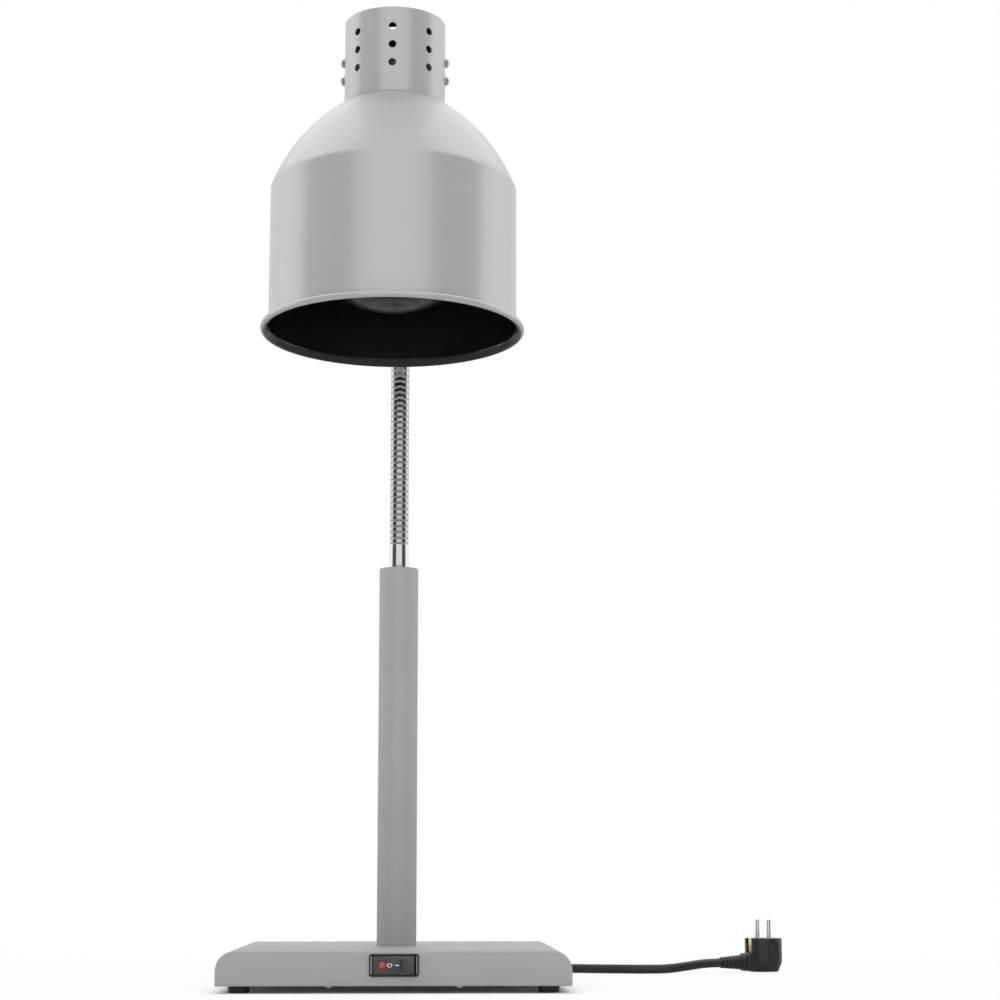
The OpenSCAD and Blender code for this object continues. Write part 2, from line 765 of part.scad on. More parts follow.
module bulb_cap() {
    color("silver") in_head() {
        difference() {
            translate([0, 0, cap_low]) cylinder(d = cap_d, h = cap_len - 4);
            translate([0, 0, cap_low - past]) cylinder(r = bulb_neck_r + fit, h = 12 + past);
        }
        translate([0, 0, cap_top - 4]) cylinder(d1 = cap_d - 6, d2 = 9, h = 4);
    }
}

module bulb_filament() {
    stem_low = bulb_waist + 40;
    ring_r = 17;
    support_lean = atan2(ring_r, 14);
    support_len = norm([ring_r, 14]);
    color("lightgray") in_head() {
        translate([0, 0, stem_low]) cylinder(r = 4, h = cap_low + 12 - stem_low);
        for (a = [0:60:300]) rotate([0, 0, a])
            translate([0, 0, stem_low + 4]) rotate([0, 180 - support_lean, 0])
                cylinder(d = 1, h = support_len);
        translate([0, 0, stem_low - 10]) rotate_extrude() translate([ring_r, 0]) circle(0.9);
    }
}

module head_leads() {
    color("black") in_head() {
        for (side = [-1, 1])
            wire([[side * 1.7, collar_r - spigot_len - 1, entry_h], [side * 3, 24, entry_h - 2],
                [side * 8, 14, entry_h - 9], [side * 8, 12.5, holder_top + 8],
                [side * 8, 12.5, holder_top]], 2.6);
    }
}

// Switch

module switch_frame() {
    back = switch_depth;
    w = opening_w + 2 * switch_wall - 2 * fit;
    h = opening_h + 2 * switch_wall - 2 * fit;
    color("black") translate([0, 0, switch_mid_z]) difference() {
        union() {
            translate([-switch_w / 2, front_y - switch_proud, -switch_h / 2])
                cube([switch_w, switch_proud, switch_h]);
            translate([-w / 2, front_y - 0.5, -h / 2]) cube([w, back + 0.5, h]);
        }
        translate([-opening_w / 2, front_y - switch_proud - past, -opening_h / 2])
            cube([opening_w, switch_proud + back - 2 + past, opening_h]);
        translate([0, rocker_pivot_y, 0])
            cylinder(r = rocker_pin_r + fit, h = h - 0.3, center = true);
    }
}

// The rocker at its middle position, pivot at the origin; its two halves slope to the middle
module rocker_shape() {
    half = rocker_w / 2;
    dip = rocker_front - rocker_pivot_y;
    difference() {
        union() {
            translate([0, 0, -rocker_h / 2]) linear_extrude(rocker_h) polygon([
                [-half + 1, dip], [0, dip + 2], [half - 1, dip], [half, dip + 1.4], [half, 0],
                [half - 8, 2.5], [8 - half, 2.5], [-half, 0], [-half, dip + 1.4]]);
            cylinder(r = rocker_pin_r, h = opening_h + 2 * switch_wall - 0.8, center = true);
            translate([ridge_x - ridge_w / 2, dip + 0.3, -ridge_len / 2]) cube([ridge_w, 2, ridge_len]);
        }
        translate([-lens_x, dip + 1, 0]) rotate([90, 0, 0])
            cylinder(r = lens_r + fit, h = 4, center = true);
    }
}

module in_rocker() {
    translate([0, rocker_pivot_y, switch_mid_z]) rotate([0, 0, -rocker_tilt]) children();
}

module switch_rocker() {
    color("darkslategray") in_rocker() rocker_shape();
}

module rocker_lens() {
    dip = rocker_front - rocker_pivot_y;
    color("red") in_rocker() translate([-lens_x, dip + 3, 0]) rotate([90, 0, 0]) {
        cylinder(r = lens_r, h = 2.2);
        translate([0, 0, 2.2]) cylinder(r1 = lens_r, r2 = lens_r - 1.2, h = 0.8);
    }
}

module switch_terminals() {
    color("goldenrod") for (x = [-terminal_x, 0, terminal_x])
        translate([x - 0.4, front_y + switch_depth, switch_mid_z - 3.15])
            cube([0.8, terminal_len, 6.3]);
}

// Inside the base

module terminal_block() {
    color("white") difference() {
        translate([30, 40, plate_top]) cube([34, 18, 14]);
        for (x = [36, 47, 58]) {
            translate([x, 49, plate_top + 8]) cylinder(d = 4, h = 7);
            translate([x, 39, plate_top + 6]) rotate([-90, 0, 0]) cylinder(d = 4.4, h = 20);
        }
    }
}

module earth_stud() {
    color("gainsboro") translate([-base_w * 0.23, base_d * 0.2, plate_top]) {
        cylinder(d = 4, h = 14);
        translate([0, 0, 0]) cylinder(d = 12, h = 1);
        translate([0, 0, 1]) cylinder(r = 7 / 2 / cos(30), h = 3.2, $fn = 6);
    }
}

module base_leads() {
    z = plate_top + 6;
    wire_d = 3;
    in_gland = rear_y + 2;
    switch_y = front_y + switch_depth + terminal_len + 0.3;
    lead_end = nipple_low - 3;
    color("saddlebrown") {
        // mains lead to the terminal block
        wire([[36, 54, z], [36, 70, z], [36.5, in_gland - 47, cord_z - 3],
            [cord_x - 2.5, in_gland - 22, cord_z], [cord_x - 2.5, in_gland, cord_z]], wire_d);
        wire([[47, 54, z], [47, 70, z], [45, in_gland - 47, cord_z - 3],
            [cord_x + 2.5, in_gland - 22, cord_z], [cord_x + 2.5, in_gland, cord_z]], wire_d);
        // terminal block to the switch
        wire([[36, 44, z], [36, 30, z], [30, -10, z], [terminal_x + 1, switch_y + 40, z],
            [terminal_x, switch_y + 15, switch_mid_z], [terminal_x, switch_y, switch_mid_z]], wire_d);
        // switch and terminal block to the lamp's lead
        wire([[0, switch_y, switch_mid_z], [0, switch_y + 15, switch_mid_z], [0, switch_y + 40, z],
            [0, -10, z], [0, column_y - 6, z + 1], [1.7, column_y - 1, lead_end - 4],
            [1.7, column_y, lead_end]], wire_d);
        wire([[47, 44, z], [47, 36, z], [40, 26, z], [12, column_y + 6, z], [-2, column_y + 4, z + 1],
            [-1.7, column_y + 1, lead_end - 4], [-1.7, column_y, lead_end]], wire_d);
    }
}

// Cord and plug

module cord_gland() {
    flange = 3;
    hole_r = gland_d / 2 - 3;
    color("black") translate([cord_x, rear_y, cord_z]) rotate([-90, 0, 0]) difference() {
        union() {
            cylinder(d = gland_d, h = flange);
            translate([0, 0, flange]) cylinder(d1 = gland_d, d2 = gland_d - 4, h = gland_len - flange);
            translate([0, 0, -12]) cylinder(r = hole_r, h = 12 + past);
        }
        translate([0, 0, -12 - past]) cylinder(d = cord_d, h = 12 + gland_len + 2 * past);
    }
}

module gland_nut() {
    color("black") translate([cord_x, rear_y - cover_wall - 4, cord_z]) rotate([-90, 0, 0])
        hex_nut(gland_d, gland_d / 2 - 3 + fit, 4);
}

// The sleeve that keeps the cord from kinking at the gland
module cord_boot() {
    color("black") translate([cord_x, rear_y + gland_len, cord_z]) rotate([-90, 0, 0]) difference() {
        cylinder(d1 = gland_d - 5, d2 = cord_d + 2, h = boot_len);
        translate([0, 0, -past]) cylinder(d = cord_d - 1, h = boot_len + 2 * past);
    }
}

module power_cord() {
    color("black") swept_tube(curve(cord_route, cord_steps), cord_d, cord_sides, [0, 0, 1]);
}

// Places a shape at the plug, with the cord arriving along X
module at_plug() {
    translate(plug_pos) rotate([0, 0, plug_turn]) children();
}

module plug_boot() {
    rib_pitch = 5;
    ribs = floor(plug_boot_len / rib_pitch);
    color("black") at_plug() translate([-plug_reach - plug_boot_len, 0, plug_cord_z])
        rotate([0, 90, 0]) for (i = [0:ribs - 1]) translate([0, 0, i * rib_pitch]) {
            cylinder(d = cord_d + 2 + i * 0.8, h = rib_pitch - 1.6);
            translate([0, 0, rib_pitch - 1.6]) cylinder(d = cord_d + 0.6 + i * 0.8, h = 1.6);
        }
}

module plug_body() {
    color("black") at_plug() difference() {
        union() {
            cylinder(d1 = plug_d - 8, d2 = plug_d, h = plug_cord_z);
            translate([0, 0, plug_cord_z]) cylinder(d = plug_d, h = plug_t - plug_cord_z);
            translate([-plug_reach, -9, 1]) cube([plug_reach, 18, 18]);
        }
        for (side = [-1, 1]) translate([side * (plug_d / 2 - 1) - 1.5, -4, plug_t - clip_len])
            cube([3, 8, plug_t]);
    }
}

module plug_pins() {
    color("silver") at_plug() for (side = [-1, 1])
        translate([0, side * pin_pitch / 2, plug_t]) cylinder(d = pin_d, h = pin_len);
}

module plug_earth_clips() {
    color("goldenrod") at_plug() for (side = [-1, 1])
        translate([side * (plug_d / 2 - 1.9) - 0.4, -3, plug_t - clip_len]) cube([0.8, 6, clip_len]);
}

base_cover();
bottom_plate();
plate_screws();
rubber_feet();
foot_screws();
stiffener_plate();
column();
column_foot_plug();
threaded_nipple();
nipple_nut();
column_top_bush();
column_lead();
lower_ferrule();
gooseneck_base();
gooseneck_1();
gooseneck_2();
gooseneck_3();
gooseneck_4();
gooseneck_5();
gooseneck_tip();
upper_ferrule();
collar_nut();
shade();
collar();
top_plate();
holder_bracket();
bracket_screws();
bracket_nuts();
lamp_holder();
holder_shell();
holder_screws();
bulb_glass();
bulb_cap();
bulb_filament();
head_leads();
switch_frame();
switch_rocker();
rocker_lens();
switch_terminals();
terminal_block();
earth_stud();
base_leads();
cord_gland();
gland_nut();
cord_boot();
power_cord();
plug_boot();
plug_body();
plug_pins();
plug_earth_clips();
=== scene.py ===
"""Looks of the food warming lamp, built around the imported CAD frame.

Outlines and named sizes are in millimetres and are turned into metres with MM. Places of the camera,
the lamps and the stage are in metres.
"""

import math

import bmesh
import bpy
from mathutils import Matrix, Vector


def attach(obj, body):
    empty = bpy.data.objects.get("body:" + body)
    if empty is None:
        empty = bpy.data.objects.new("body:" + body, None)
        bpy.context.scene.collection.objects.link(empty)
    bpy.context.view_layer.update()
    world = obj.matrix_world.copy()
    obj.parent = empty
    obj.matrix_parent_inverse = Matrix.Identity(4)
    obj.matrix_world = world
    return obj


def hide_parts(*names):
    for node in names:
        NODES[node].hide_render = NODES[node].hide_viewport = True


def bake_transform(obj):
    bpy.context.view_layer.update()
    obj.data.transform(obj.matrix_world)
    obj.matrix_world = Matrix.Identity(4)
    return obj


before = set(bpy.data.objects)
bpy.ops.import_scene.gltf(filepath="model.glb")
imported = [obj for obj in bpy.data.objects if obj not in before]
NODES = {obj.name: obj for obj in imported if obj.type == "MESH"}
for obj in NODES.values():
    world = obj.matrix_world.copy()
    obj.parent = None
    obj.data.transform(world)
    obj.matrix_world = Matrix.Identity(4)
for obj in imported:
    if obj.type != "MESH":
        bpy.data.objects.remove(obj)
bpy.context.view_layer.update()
MM = 0.001
scene = bpy.context.scene
scene.view_settings.view_transform = "Standard"

# Camera, fitted to the photograph
CAMERA_PLACE = (0.025383, -2.169247, 0.098007)
CAMERA_PITCH = math.radians(9.029)
CAMERA_YAW = math.radians(1.804)
SENSOR_WIDTH, FOCAL_LENGTH = 36, 85.0
camera_data = bpy.data.cameras.new("camera")
camera_data.sensor_width = SENSOR_WIDTH
camera_data.lens = FOCAL_LENGTH
camera_data.clip_start = 0.05
camera_data.clip_end = 50
camera = bpy.data.objects.new("camera", camera_data)
camera.location = CAMERA_PLACE
camera.rotation_euler = (math.pi / 2 + CAMERA_PITCH, 0, -CAMERA_YAW)
scene.collection.objects.link(camera)
scene.camera = camera

# Frames of reference: the arm is turned about the column, and the head is tilted on it

COLUMN_Y = 18 * MM
COLUMN_PLACE = Matrix.Translation((0, COLUMN_Y, 0))
ARM = COLUMN_PLACE @ Matrix.Rotation(math.radians(-2.3), 4, "Z")
HEAD_REACH, HEAD_HEIGHT = 140, 575.2
TILT = math.radians(2.7)
HEAD = (ARM @ Matrix.Translation((0, -HEAD_REACH * MM, HEAD_HEIGHT * MM))
        @ Matrix.Rotation(-TILT, 4, "X"))
TOWARD_X = Matrix.Rotation(math.radians(90), 4, "Y")
TOWARD_REAR = Matrix.Rotation(math.radians(-90), 4, "X")

# Materials


def new_material(name):
    material = bpy.data.materials.new(name)
    material.use_nodes = True
    tree = material.node_tree
    return material, tree, tree.nodes["Principled BSDF"]


def link(tree, source, target):
    tree.links.new(source, target)


def grey(value):
    return (value, value, value, 1)


def noise(tree, scale, detail, rough=0.55):
    """Values of a noise texture in the object's own coordinates."""
    place = tree.nodes.new("ShaderNodeTexCoord")
    node = tree.nodes.new("ShaderNodeTexNoise")
    node.inputs["Scale"].default_value = scale
    node.inputs["Detail"].default_value = detail
    node.inputs["Roughness"].default_value = rough
    link(tree, place.outputs["Object"], node.inputs["Vector"])
    return node.outputs["Fac"]


def spread(tree, source, low, high, start=0.3, end=0.7):
    """Maps a value from start..end to low..high."""
    node = tree.nodes.new("ShaderNodeMapRange")
    node.inputs["From Min"].default_value = start
    node.inputs["From Max"].default_value = end
    node.inputs["To Min"].default_value = low
    node.inputs["To Max"].default_value = high
    link(tree, source, node.inputs["Value"])
    return node.outputs["Result"]


def tint(tree, source, dark, light, start=0.3, end=0.7):
    """Maps a value from start..end to a colour from dark to light."""
    ramp = tree.nodes.new("ShaderNodeValToRGB")
    ramp.color_ramp.elements[0].position = start
    ramp.color_ramp.elements[0].color = (*dark, 1)
    ramp.color_ramp.elements[1].position = end
    ramp.color_ramp.elements[1].color = (*light, 1)
    link(tree, source, ramp.inputs["Fac"])
    return ramp.outputs["Color"]


def bump(tree, shader, height, strength, distance):
    node = tree.nodes.new("ShaderNodeBump")
    node.inputs["Strength"].default_value = strength
    node.inputs["Distance"].default_value = distance
    link(tree, height, node.inputs["Height"])
    link(tree, node.outputs["Normal"], shader.inputs["Normal"])


def scaled(colour, factor):
    """A colour made lighter or darker."""
    return tuple(min(1.0, c * factor) for c in colour)


def surface(name, colour, rough, metal, vary, rough_vary, grain, relief, depth=0.00004, patch=18.0,
            coat=0.0, shine=0.5):
    """A finish with a slight change of colour and gloss over it and a fine grain.

    vary and rough_vary are the changes of colour and roughness, patch and grain the scales of the
    coarse and the fine noise, relief and depth the strength and height in metres of the fine one.
    """
    material, tree, shader = new_material(name)
    shader.inputs["Metallic"].default_value = metal
    shader.inputs["Specular IOR Level"].default_value = shine
    if coat:
        shader.inputs["Coat Weight"].default_value = coat
        shader.inputs["Coat Roughness"].default_value = 0.12
    broad = noise(tree, patch, 3.0)
    link(tree, tint(tree, broad, scaled(colour, 1 - vary), scaled(colour, 1 + vary)),
         shader.inputs["Base Color"])
    fine = noise(tree, grain, 3.0, 0.6)
    link(tree, spread(tree, fine, max(0.02, rough - rough_vary), rough + rough_vary),
         shader.inputs["Roughness"])
    if relief:
        bump(tree, shader, fine, relief, depth)
    return material


POWDER = surface("powder_coat", (0.345, 0.345, 0.35), 0.50, 0.10, 0.03, 0.07, 1500.0, 0.40, 0.00006,
                 9.0, shine=0.2)
SATIN = surface("satin_silver", (0.445, 0.445, 0.447), 0.30, 0.35, 0.012, 0.03, 2400.0, 0.05,
                0.00001, 6.0)
ENAMEL = surface("black_enamel", (0.008, 0.008, 0.008), 0.20, 0.0, 0.12, 0.03, 60.0, 0.04, 0.00004,
                 30.0)
PLATE_BLACK = surface("black_paint", (0.016, 0.016, 0.016), 0.42, 0.0, 0.15, 0.06, 500.0, 0.12, 0.00004)
CHROME = surface("chrome", (0.68, 0.68, 0.69), 0.11, 1.0, 0.02, 0.02, 90.0, 0.0)
NECK_STEEL = surface("neck_steel", (0.50, 0.50, 0.505), 0.14, 1.0, 0.03, 0.03, 90.0, 0.0)
ZINC = surface("zinc_steel", (0.55, 0.56, 0.58), 0.36, 1.0, 0.10, 0.08, 350.0, 0.10, 0.00003, 60.0)
BRASS = surface("brass", (0.72, 0.55, 0.25), 0.28, 1.0, 0.10, 0.07, 350.0, 0.08, 0.00003, 60.0)
RUBBER = surface("rubber", (0.022, 0.022, 0.022), 0.72, 0.0, 0.20, 0.08, 900.0, 0.35, 0.00006, 50.0)
SHEATH = surface("cord_sheath", (0.013, 0.013, 0.014), 0.36, 0.0, 0.15, 0.06, 700.0, 0.15, 0.00004,
                 40.0)
PLASTIC = surface("black_plastic", (0.020, 0.020, 0.021), 0.40, 0.0, 0.12, 0.06, 1100.0, 0.22,
                  0.00003, 50.0)
ROCKER = surface("rocker_plastic", (0.042, 0.046, 0.049), 0.34, 0.0, 0.06, 0.05, 1300.0, 0.12,
                 0.00002, 60.0)
# light grey for the strips at the switch's ends: a painted highlight
HIGHLIGHT_GREY = surface("painted_highlight_grey", (0.34, 0.34, 0.35), 0.45, 0.0, 0.05, 0.05, 1100.0, 0.10, 0.00002, 60.0)
MARK = surface("mark_white", (0.78, 0.80, 0.80), 0.45, 0.0, 0.03, 0.05, 1300.0, 0.05, 0.00001, 60.0)
CERAMIC = surface("ceramic", (0.83, 0.80, 0.74), 0.16, 0.0, 0.04, 0.05, 160.0, 0.10, 0.00006, 40.0,
                  coat=0.4)
BLOCK = surface("block_plastic", (0.78, 0.78, 0.74), 0.45, 0.0, 0.04, 0.06, 900.0, 0.15, 0.00003, 50.0)
INSULATION = surface("lead_insulation", (0.22, 0.10, 0.045), 0.40, 0.0, 0.10, 0.06, 900.0, 0.10,
                     0.00002, 50.0)
CAP_ALLOY = surface("cap_alloy", (0.72, 0.72, 0.72), 0.30, 1.0, 0.06, 0.07, 400.0, 0.08, 0.00003, 60.0)
TUNGSTEN = surface("filament", (0.40, 0.40, 0.42), 0.35, 0.9, 0.06, 0.06, 900.0, 0.10, 0.00002, 80.0)


def red_lens():
    """Clear red plastic, unevenly coloured and with a light coat."""
    material, tree, shader = new_material("red_lens")
    shader.inputs["Transmission Weight"].default_value = 0.35
    shader.inputs["IOR"].default_value = 1.49
    shader.inputs["Coat Weight"].default_value = 0.5
    flutes = noise(tree, 900.0, 2.0)
    link(tree, tint(tree, flutes, (0.62, 0.035, 0.03), (0.80, 0.07, 0.06)),
         shader.inputs["Base Color"])
    link(tree, spread(tree, flutes, 0.10, 0.24), shader.inputs["Roughness"])
    bump(tree, shader, flutes, 0.2, 0.00003)
    return material


def bulb_face():
    """Frosted glass with the faint rings that pressing leaves."""
    material, tree, shader = new_material("bulb_face")
    place = tree.nodes.new("ShaderNodeTexCoord")
    shift = tree.nodes.new("ShaderNodeMapping")
    shift.vector_type = "POINT"
    centre = HEAD.translation
    shift.inputs["Location"].default_value = (-centre.x, -centre.y, 0)
    shift.inputs["Scale"].default_value = (1, 1, 0)
    rings = tree.nodes.new("ShaderNodeTexWave")
    rings.wave_type = "RINGS"
    rings.rings_direction = "SPHERICAL"
    rings.inputs["Scale"].default_value = 24.0
    rings.inputs["Distortion"].default_value = 0.25
    rings.inputs["Detail"].default_value = 1.0
    link(tree, place.outputs["Object"], shift.inputs["Vector"])
    link(tree, shift.outputs["Vector"], rings.inputs["Vector"])
    frost = noise(tree, 1400.0, 3.0)
    link(tree, tint(tree, rings.outputs["Fac"], (0.018, 0.018, 0.019), (0.034, 0.034, 0.035), 0.1, 0.9),
         shader.inputs["Base Color"])
    link(tree, spread(tree, frost, 0.16, 0.30), shader.inputs["Roughness"])
    shader.inputs["Specular IOR Level"].default_value = 0.22
    bump(tree, shader, rings.outputs["Fac"], 0.25, 0.0003)
    return material


def mirrored_glass():
    """Glass that is silvered behind, for the bulb's back."""
    material, tree, shader = new_material("bulb_mirror")
    haze = noise(tree, 45.0, 3.0)
    link(tree, tint(tree, haze, (0.70, 0.70, 0.71), (0.80, 0.80, 0.81)),
         shader.inputs["Base Color"])
    shader.inputs["Metallic"].default_value = 0.95
    link(tree, spread(tree, haze, 0.10, 0.22), shader.inputs["Roughness"])
    shader.inputs["Coat Weight"].default_value = 0.8
    bump(tree, shader, haze, 0.05, 0.0004)
    return material


LENS_RED = red_lens()
BULB_FACE = bulb_face()
BULB_MIRROR = mirrored_glass()

# Shapes


def add_object(name, mesh, materials, body, replaced=()):
    """Links a piece of the visual model with its finish and its body, and hides the CAD nodes it takes
    the place of.
    """
    ob = bpy.data.objects.new(name, mesh)
    scene.collection.objects.link(ob)
    for material in materials:
        mesh.materials.append(material)
    if body:
        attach(ob, body)
    if replaced:
        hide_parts(*replaced)
    return ob


def soften(mesh, angle=35.0):
    """Smooth shading, but not over edges sharper than the angle."""
    bm = bmesh.new()
    bm.from_mesh(mesh)
    limit = math.radians(angle)
    for face in bm.faces:
        face.smooth = True
    for edge in bm.edges:
        if len(edge.link_faces) != 2 or edge.calc_face_angle(0) > limit:
            edge.smooth = False
    bm.to_mesh(mesh)
    bm.free()


def mesh_from(bm, name, angle=35.0):
    """Turns a bmesh into a softly shaded mesh with its normals outward."""
    bmesh.ops.remove_doubles(bm, verts=bm.verts, dist=1e-6)
    bmesh.ops.recalc_face_normals(bm, faces=bm.faces)
    mesh = bpy.data.meshes.new(name)
    bm.to_mesh(mesh)
    bm.free()
    soften(mesh, angle)
    return mesh


def fillet(points, steps=5):
    """Rounds the corners of an open or closed outline. A point is (r, h) or (r, h, radius)."""
    out = []
    count = len(points)
    for i, point in enumerate(points):
        radius = point[2] if len(point) > 2 else 0
        here = Vector(point[:2])
        before = Vector(points[i - 1][:2])
        after = Vector(points[(i + 1) % count][:2])
        if not radius:
            out.append(tuple(here))
            continue
        a, b = (before - here).normalized(), (after - here).normalized()
        half = math.acos(max(-1, min(1, a.dot(b)))) / 2
        cut = min(radius / math.tan(half), (before - here).length * 0.49, (after - here).length * 0.49)
        real = cut * math.tan(half)
        centre = here + (a + b).normalized() * (real / math.sin(half))
        start, end = here + a * cut, here + b * cut
        va, vb = start - centre, end - centre
        turn = math.atan2(va.x * vb.y - va.y * vb.x, va.dot(vb))
        for k in range(steps + 1):
            t = turn * k / steps
            out.append((centre.x + va.x * math.cos(t) - va.y * math.sin(t),
                        centre.y + va.x * math.sin(t) + va.y * math.cos(t)))
    return out


def close_tube(bm, rings):
    """Joins rings of the same number of points, also the last to the first."""
    for low, high in zip(rings, rings[1:] + rings[:1]):
        for k in range(len(low)):
            m = (k + 1) % len(low)
            bm.faces.new([low[k], low[m], high[m], high[k]])


def lathe_into(bm, profile, matrix, sides=96, closed=True, faces_of=None):
    """Turns a profile in millimetres about its own Z. faces_of gives each step's material."""
    rings = []
    for r, h in profile:
        if r < 1e-6:
            rings.append([bm.verts.new(matrix @ Vector((0, 0, h * MM)))])
            continue
        rings.append([bm.verts.new(matrix @ Vector((r * MM * math.cos(2 * math.pi * k / sides),
                                                    r * MM * math.sin(2 * math.pi * k / sides),
                                                    h * MM)))
                      for k in range(sides)])
    after = rings[1:] + rings[:1] if closed else rings[1:]
    for step, (low, high) in enumerate(zip(rings, after)):
        if len(low) == 1 and len(high) == 1:
            continue
        for k in range(sides):
            m = (k + 1) % sides
            corners = [low[k % len(low)], low[m % len(low)], high[m % len(high)], high[k % len(high)]]
            unique = [v for n, v in enumerate(corners) if v not in corners[:n]]
            if len(unique) > 2:
                face = bm.faces.new(unique)
                face.material_index = faces_of[step] if faces_of else 0
    return bm


def lathe(name, profile, matrix, materials, body, replaced=(), sides=96, faces_of=None,
          angle=35.0):
    """Adds a turned piece."""
    bm = lathe_into(bmesh.new(), profile, matrix, sides, True, faces_of)
    return add_object(name, mesh_from(bm, name, angle), materials, body, replaced)


def box_into(bm, low, high, matrix=Matrix.Identity(4)):
    """Adds a box between two corners in millimetres."""
    made = bmesh.ops.create_cube(bm, size=1.0)["verts"]
    low, high = Vector(low) * MM, Vector(high) * MM
    for v in made:
        v.co = matrix @ Vector([low[i] + (v.co[i] + 0.5) * (high[i] - low[i]) for i in range(3)])


def bake(ob):
    """Applies the object's modifiers to its mesh."""
    graph = bpy.context.evaluated_depsgraph_get()
    mesh = bpy.data.meshes.new_from_object(ob.evaluated_get(graph), depsgraph=graph)
    ob.modifiers.clear()
    ob.data = mesh


def rounded(ob, width, segments=2, limit=35.0):
    """Breaks the object's sharp edges by a width in millimetres."""
    mod = ob.modifiers.new("edge", "BEVEL")
    mod.width = width * MM
    mod.segments = segments
    mod.limit_method = "ANGLE"
    mod.angle_limit = math.radians(limit)
    mod.harden_normals = False
    bake(ob)
    soften(ob.data, 40.0)


def combine(ob, tool, operation):
    """Cuts a second object out of the first, joins it on, or keeps what both cover. It is then gone."""
    mod = ob.modifiers.new("combine", "BOOLEAN")
    mod.operation = operation
    mod.solver = "EXACT"
    mod.object = tool
    bake(ob)
    bpy.data.objects.remove(tool)


def carve(ob, bm, operation="DIFFERENCE"):
    """Cuts one or more closed cutters out of the object, or keeps what they cover."""
    tool = bpy.data.objects.new("tool", mesh_from(bm, "cut"))
    scene.collection.objects.link(tool)
    combine(ob, tool, operation)


def refined(node, name, width, material, body, segments=2):
    """A copy of a CAD node with its sharp edges broken."""
    mesh = NODES[node].data.copy()
    mesh.materials.clear()
    bm = bmesh.new()
    bm.from_mesh(mesh)
    for layer in list(bm.loops.layers.uv):
        bm.loops.layers.uv.remove(layer)
    bmesh.ops.remove_doubles(bm, verts=bm.verts, dist=2e-6)
    bmesh.ops.dissolve_limit(bm, angle_limit=math.radians(0.5), verts=bm.verts, edges=bm.edges)
    bm.to_mesh(mesh)
    bm.free()
    ob = add_object(name, mesh, [material], body)
    rounded(ob, width, segments)
    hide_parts(node)
    return ob


# Cord and plug

CORD_ROUTE = [
    (40, 188, 20), (40, 200, 19), (40, 213, 16), (41, 227, 11), (44, 241, 6.5), (51, 255, 4.6),
    (63, 267, 4.6), (79, 276, 4.6), (98, 281, 4.6), (120, 282, 4.6), (143, 278, 4.6),
    (165, 271, 4.6), (187, 263, 4.6), (208, 256, 4.6), (229, 250, 4.6), (250, 247, 4.6),
    (270, 248, 5), (289, 253.5, 7), (308, 262, 9.3), (326.5, 272, 10)
]
CORD_D = 9
PLUG = Matrix.Translation((375 * MM, 300 * MM, 0)) @ Matrix.Rotation(math.radians(30), 4, "Z")
PLUG_D, PLUG_T, PLUG_CORD_Z, PLUG_REACH, CLIP_LEN = 38, 34, 10, 26, 14
PLUG_BOOT_LEN, PIN_R, PIN_Y, PIN_END = 30, 2.4, 9.5, 53

cord_curve = bpy.data.curves.new("power_cord_flex", "CURVE")
cord_curve.dimensions = "3D"
cord_curve.bevel_depth = CORD_D / 2 * MM
cord_curve.bevel_resolution = 6
cord_curve.resolution_u = 8
cord_curve.use_fill_caps = True
spline = cord_curve.splines.new("BEZIER")
spline.bezier_points.add(len(CORD_ROUTE) - 1)
for point, place in zip(spline.bezier_points, CORD_ROUTE):
    point.co = Vector(place) * MM
    point.handle_left_type = point.handle_right_type = "AUTO"
cord_curve.materials.append(SHEATH)
cord = bpy.data.objects.new("power_cord_flex", cord_curve)
scene.collection.objects.link(cord)
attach(cord, "stand")
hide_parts("power_cord")
bpy.context.view_layer.update()

def ribs(start, pitch, count, r0, step, groove=0.9, deep=1.1):
    """Outline of a ribbed sleeve along its axis, from its thin end; step is the growth per rib."""
    points = []
    for i in range(count):
        r = r0 + i * step
        z = start + i * pitch
        points += [(r - deep, z, 0.2), (r, z + 0.5, 0.5), (r, z + pitch - groove - 0.5, 0.5),
                   (r - deep + step, z + pitch - groove, 0.2)]
    return points


boot_place = PLUG @ Matrix.Translation(((-PLUG_REACH - PLUG_BOOT_LEN) * MM, 0,
                                        PLUG_CORD_Z * MM)) @ TOWARD_X
boot_outline = fillet([(0, 0), (5.4, 0, 0.4)] + ribs(1.2, 4.6, 6, 5.6, 0.34)
                      + [(7.2, PLUG_BOOT_LEN), (0, PLUG_BOOT_LEN)], 3)
plug_boot = lathe("plug_sleeve", boot_outline, boot_place, [SHEATH], "stand",
                  ["plug_boot"], 48)


plug_bm = lathe_into(bmesh.new(), fillet([
    (0, 0), (PLUG_D / 2 - 4, 0, 1.6), (PLUG_D / 2, PLUG_CORD_Z, 3), (PLUG_D / 2, PLUG_T, 1.2),
    (0, PLUG_T)], 6), PLUG, 96, False)
plug_body = add_object("plug_moulding", mesh_from(plug_bm, "plug_moulding", 30), [SHEATH],
                       "stand", ["plug_body"])
arm_bm = bmesh.new()
box_into(arm_bm, (-PLUG_REACH, -9, 1), (0, 9, 19), PLUG)
arm_part = add_object("tool_arm", mesh_from(arm_bm, "tool_arm"), [SHEATH], None)
rounded(arm_part, 3.2, 4)
combine(plug_body, arm_part, "UNION")
cut_bm = bmesh.new()
for side in (-1, 1):
    x = side * (PLUG_D / 2 - 1)
    box_into(cut_bm, (x - 1.5, -4, PLUG_T - CLIP_LEN), (x + 1.5, 4, PLUG_T + 2), PLUG)
    # grip hollows at both sides
    hollow = Matrix.Translation((0, side * 38.5 * MM, 0))
    lathe_into(cut_bm, [(0, 4), (21, 4), (21, 28), (0, 28)], PLUG @ hollow, 96, False)
carve(plug_body, cut_bm)
rounded(plug_body, 0.5, 2, 40)


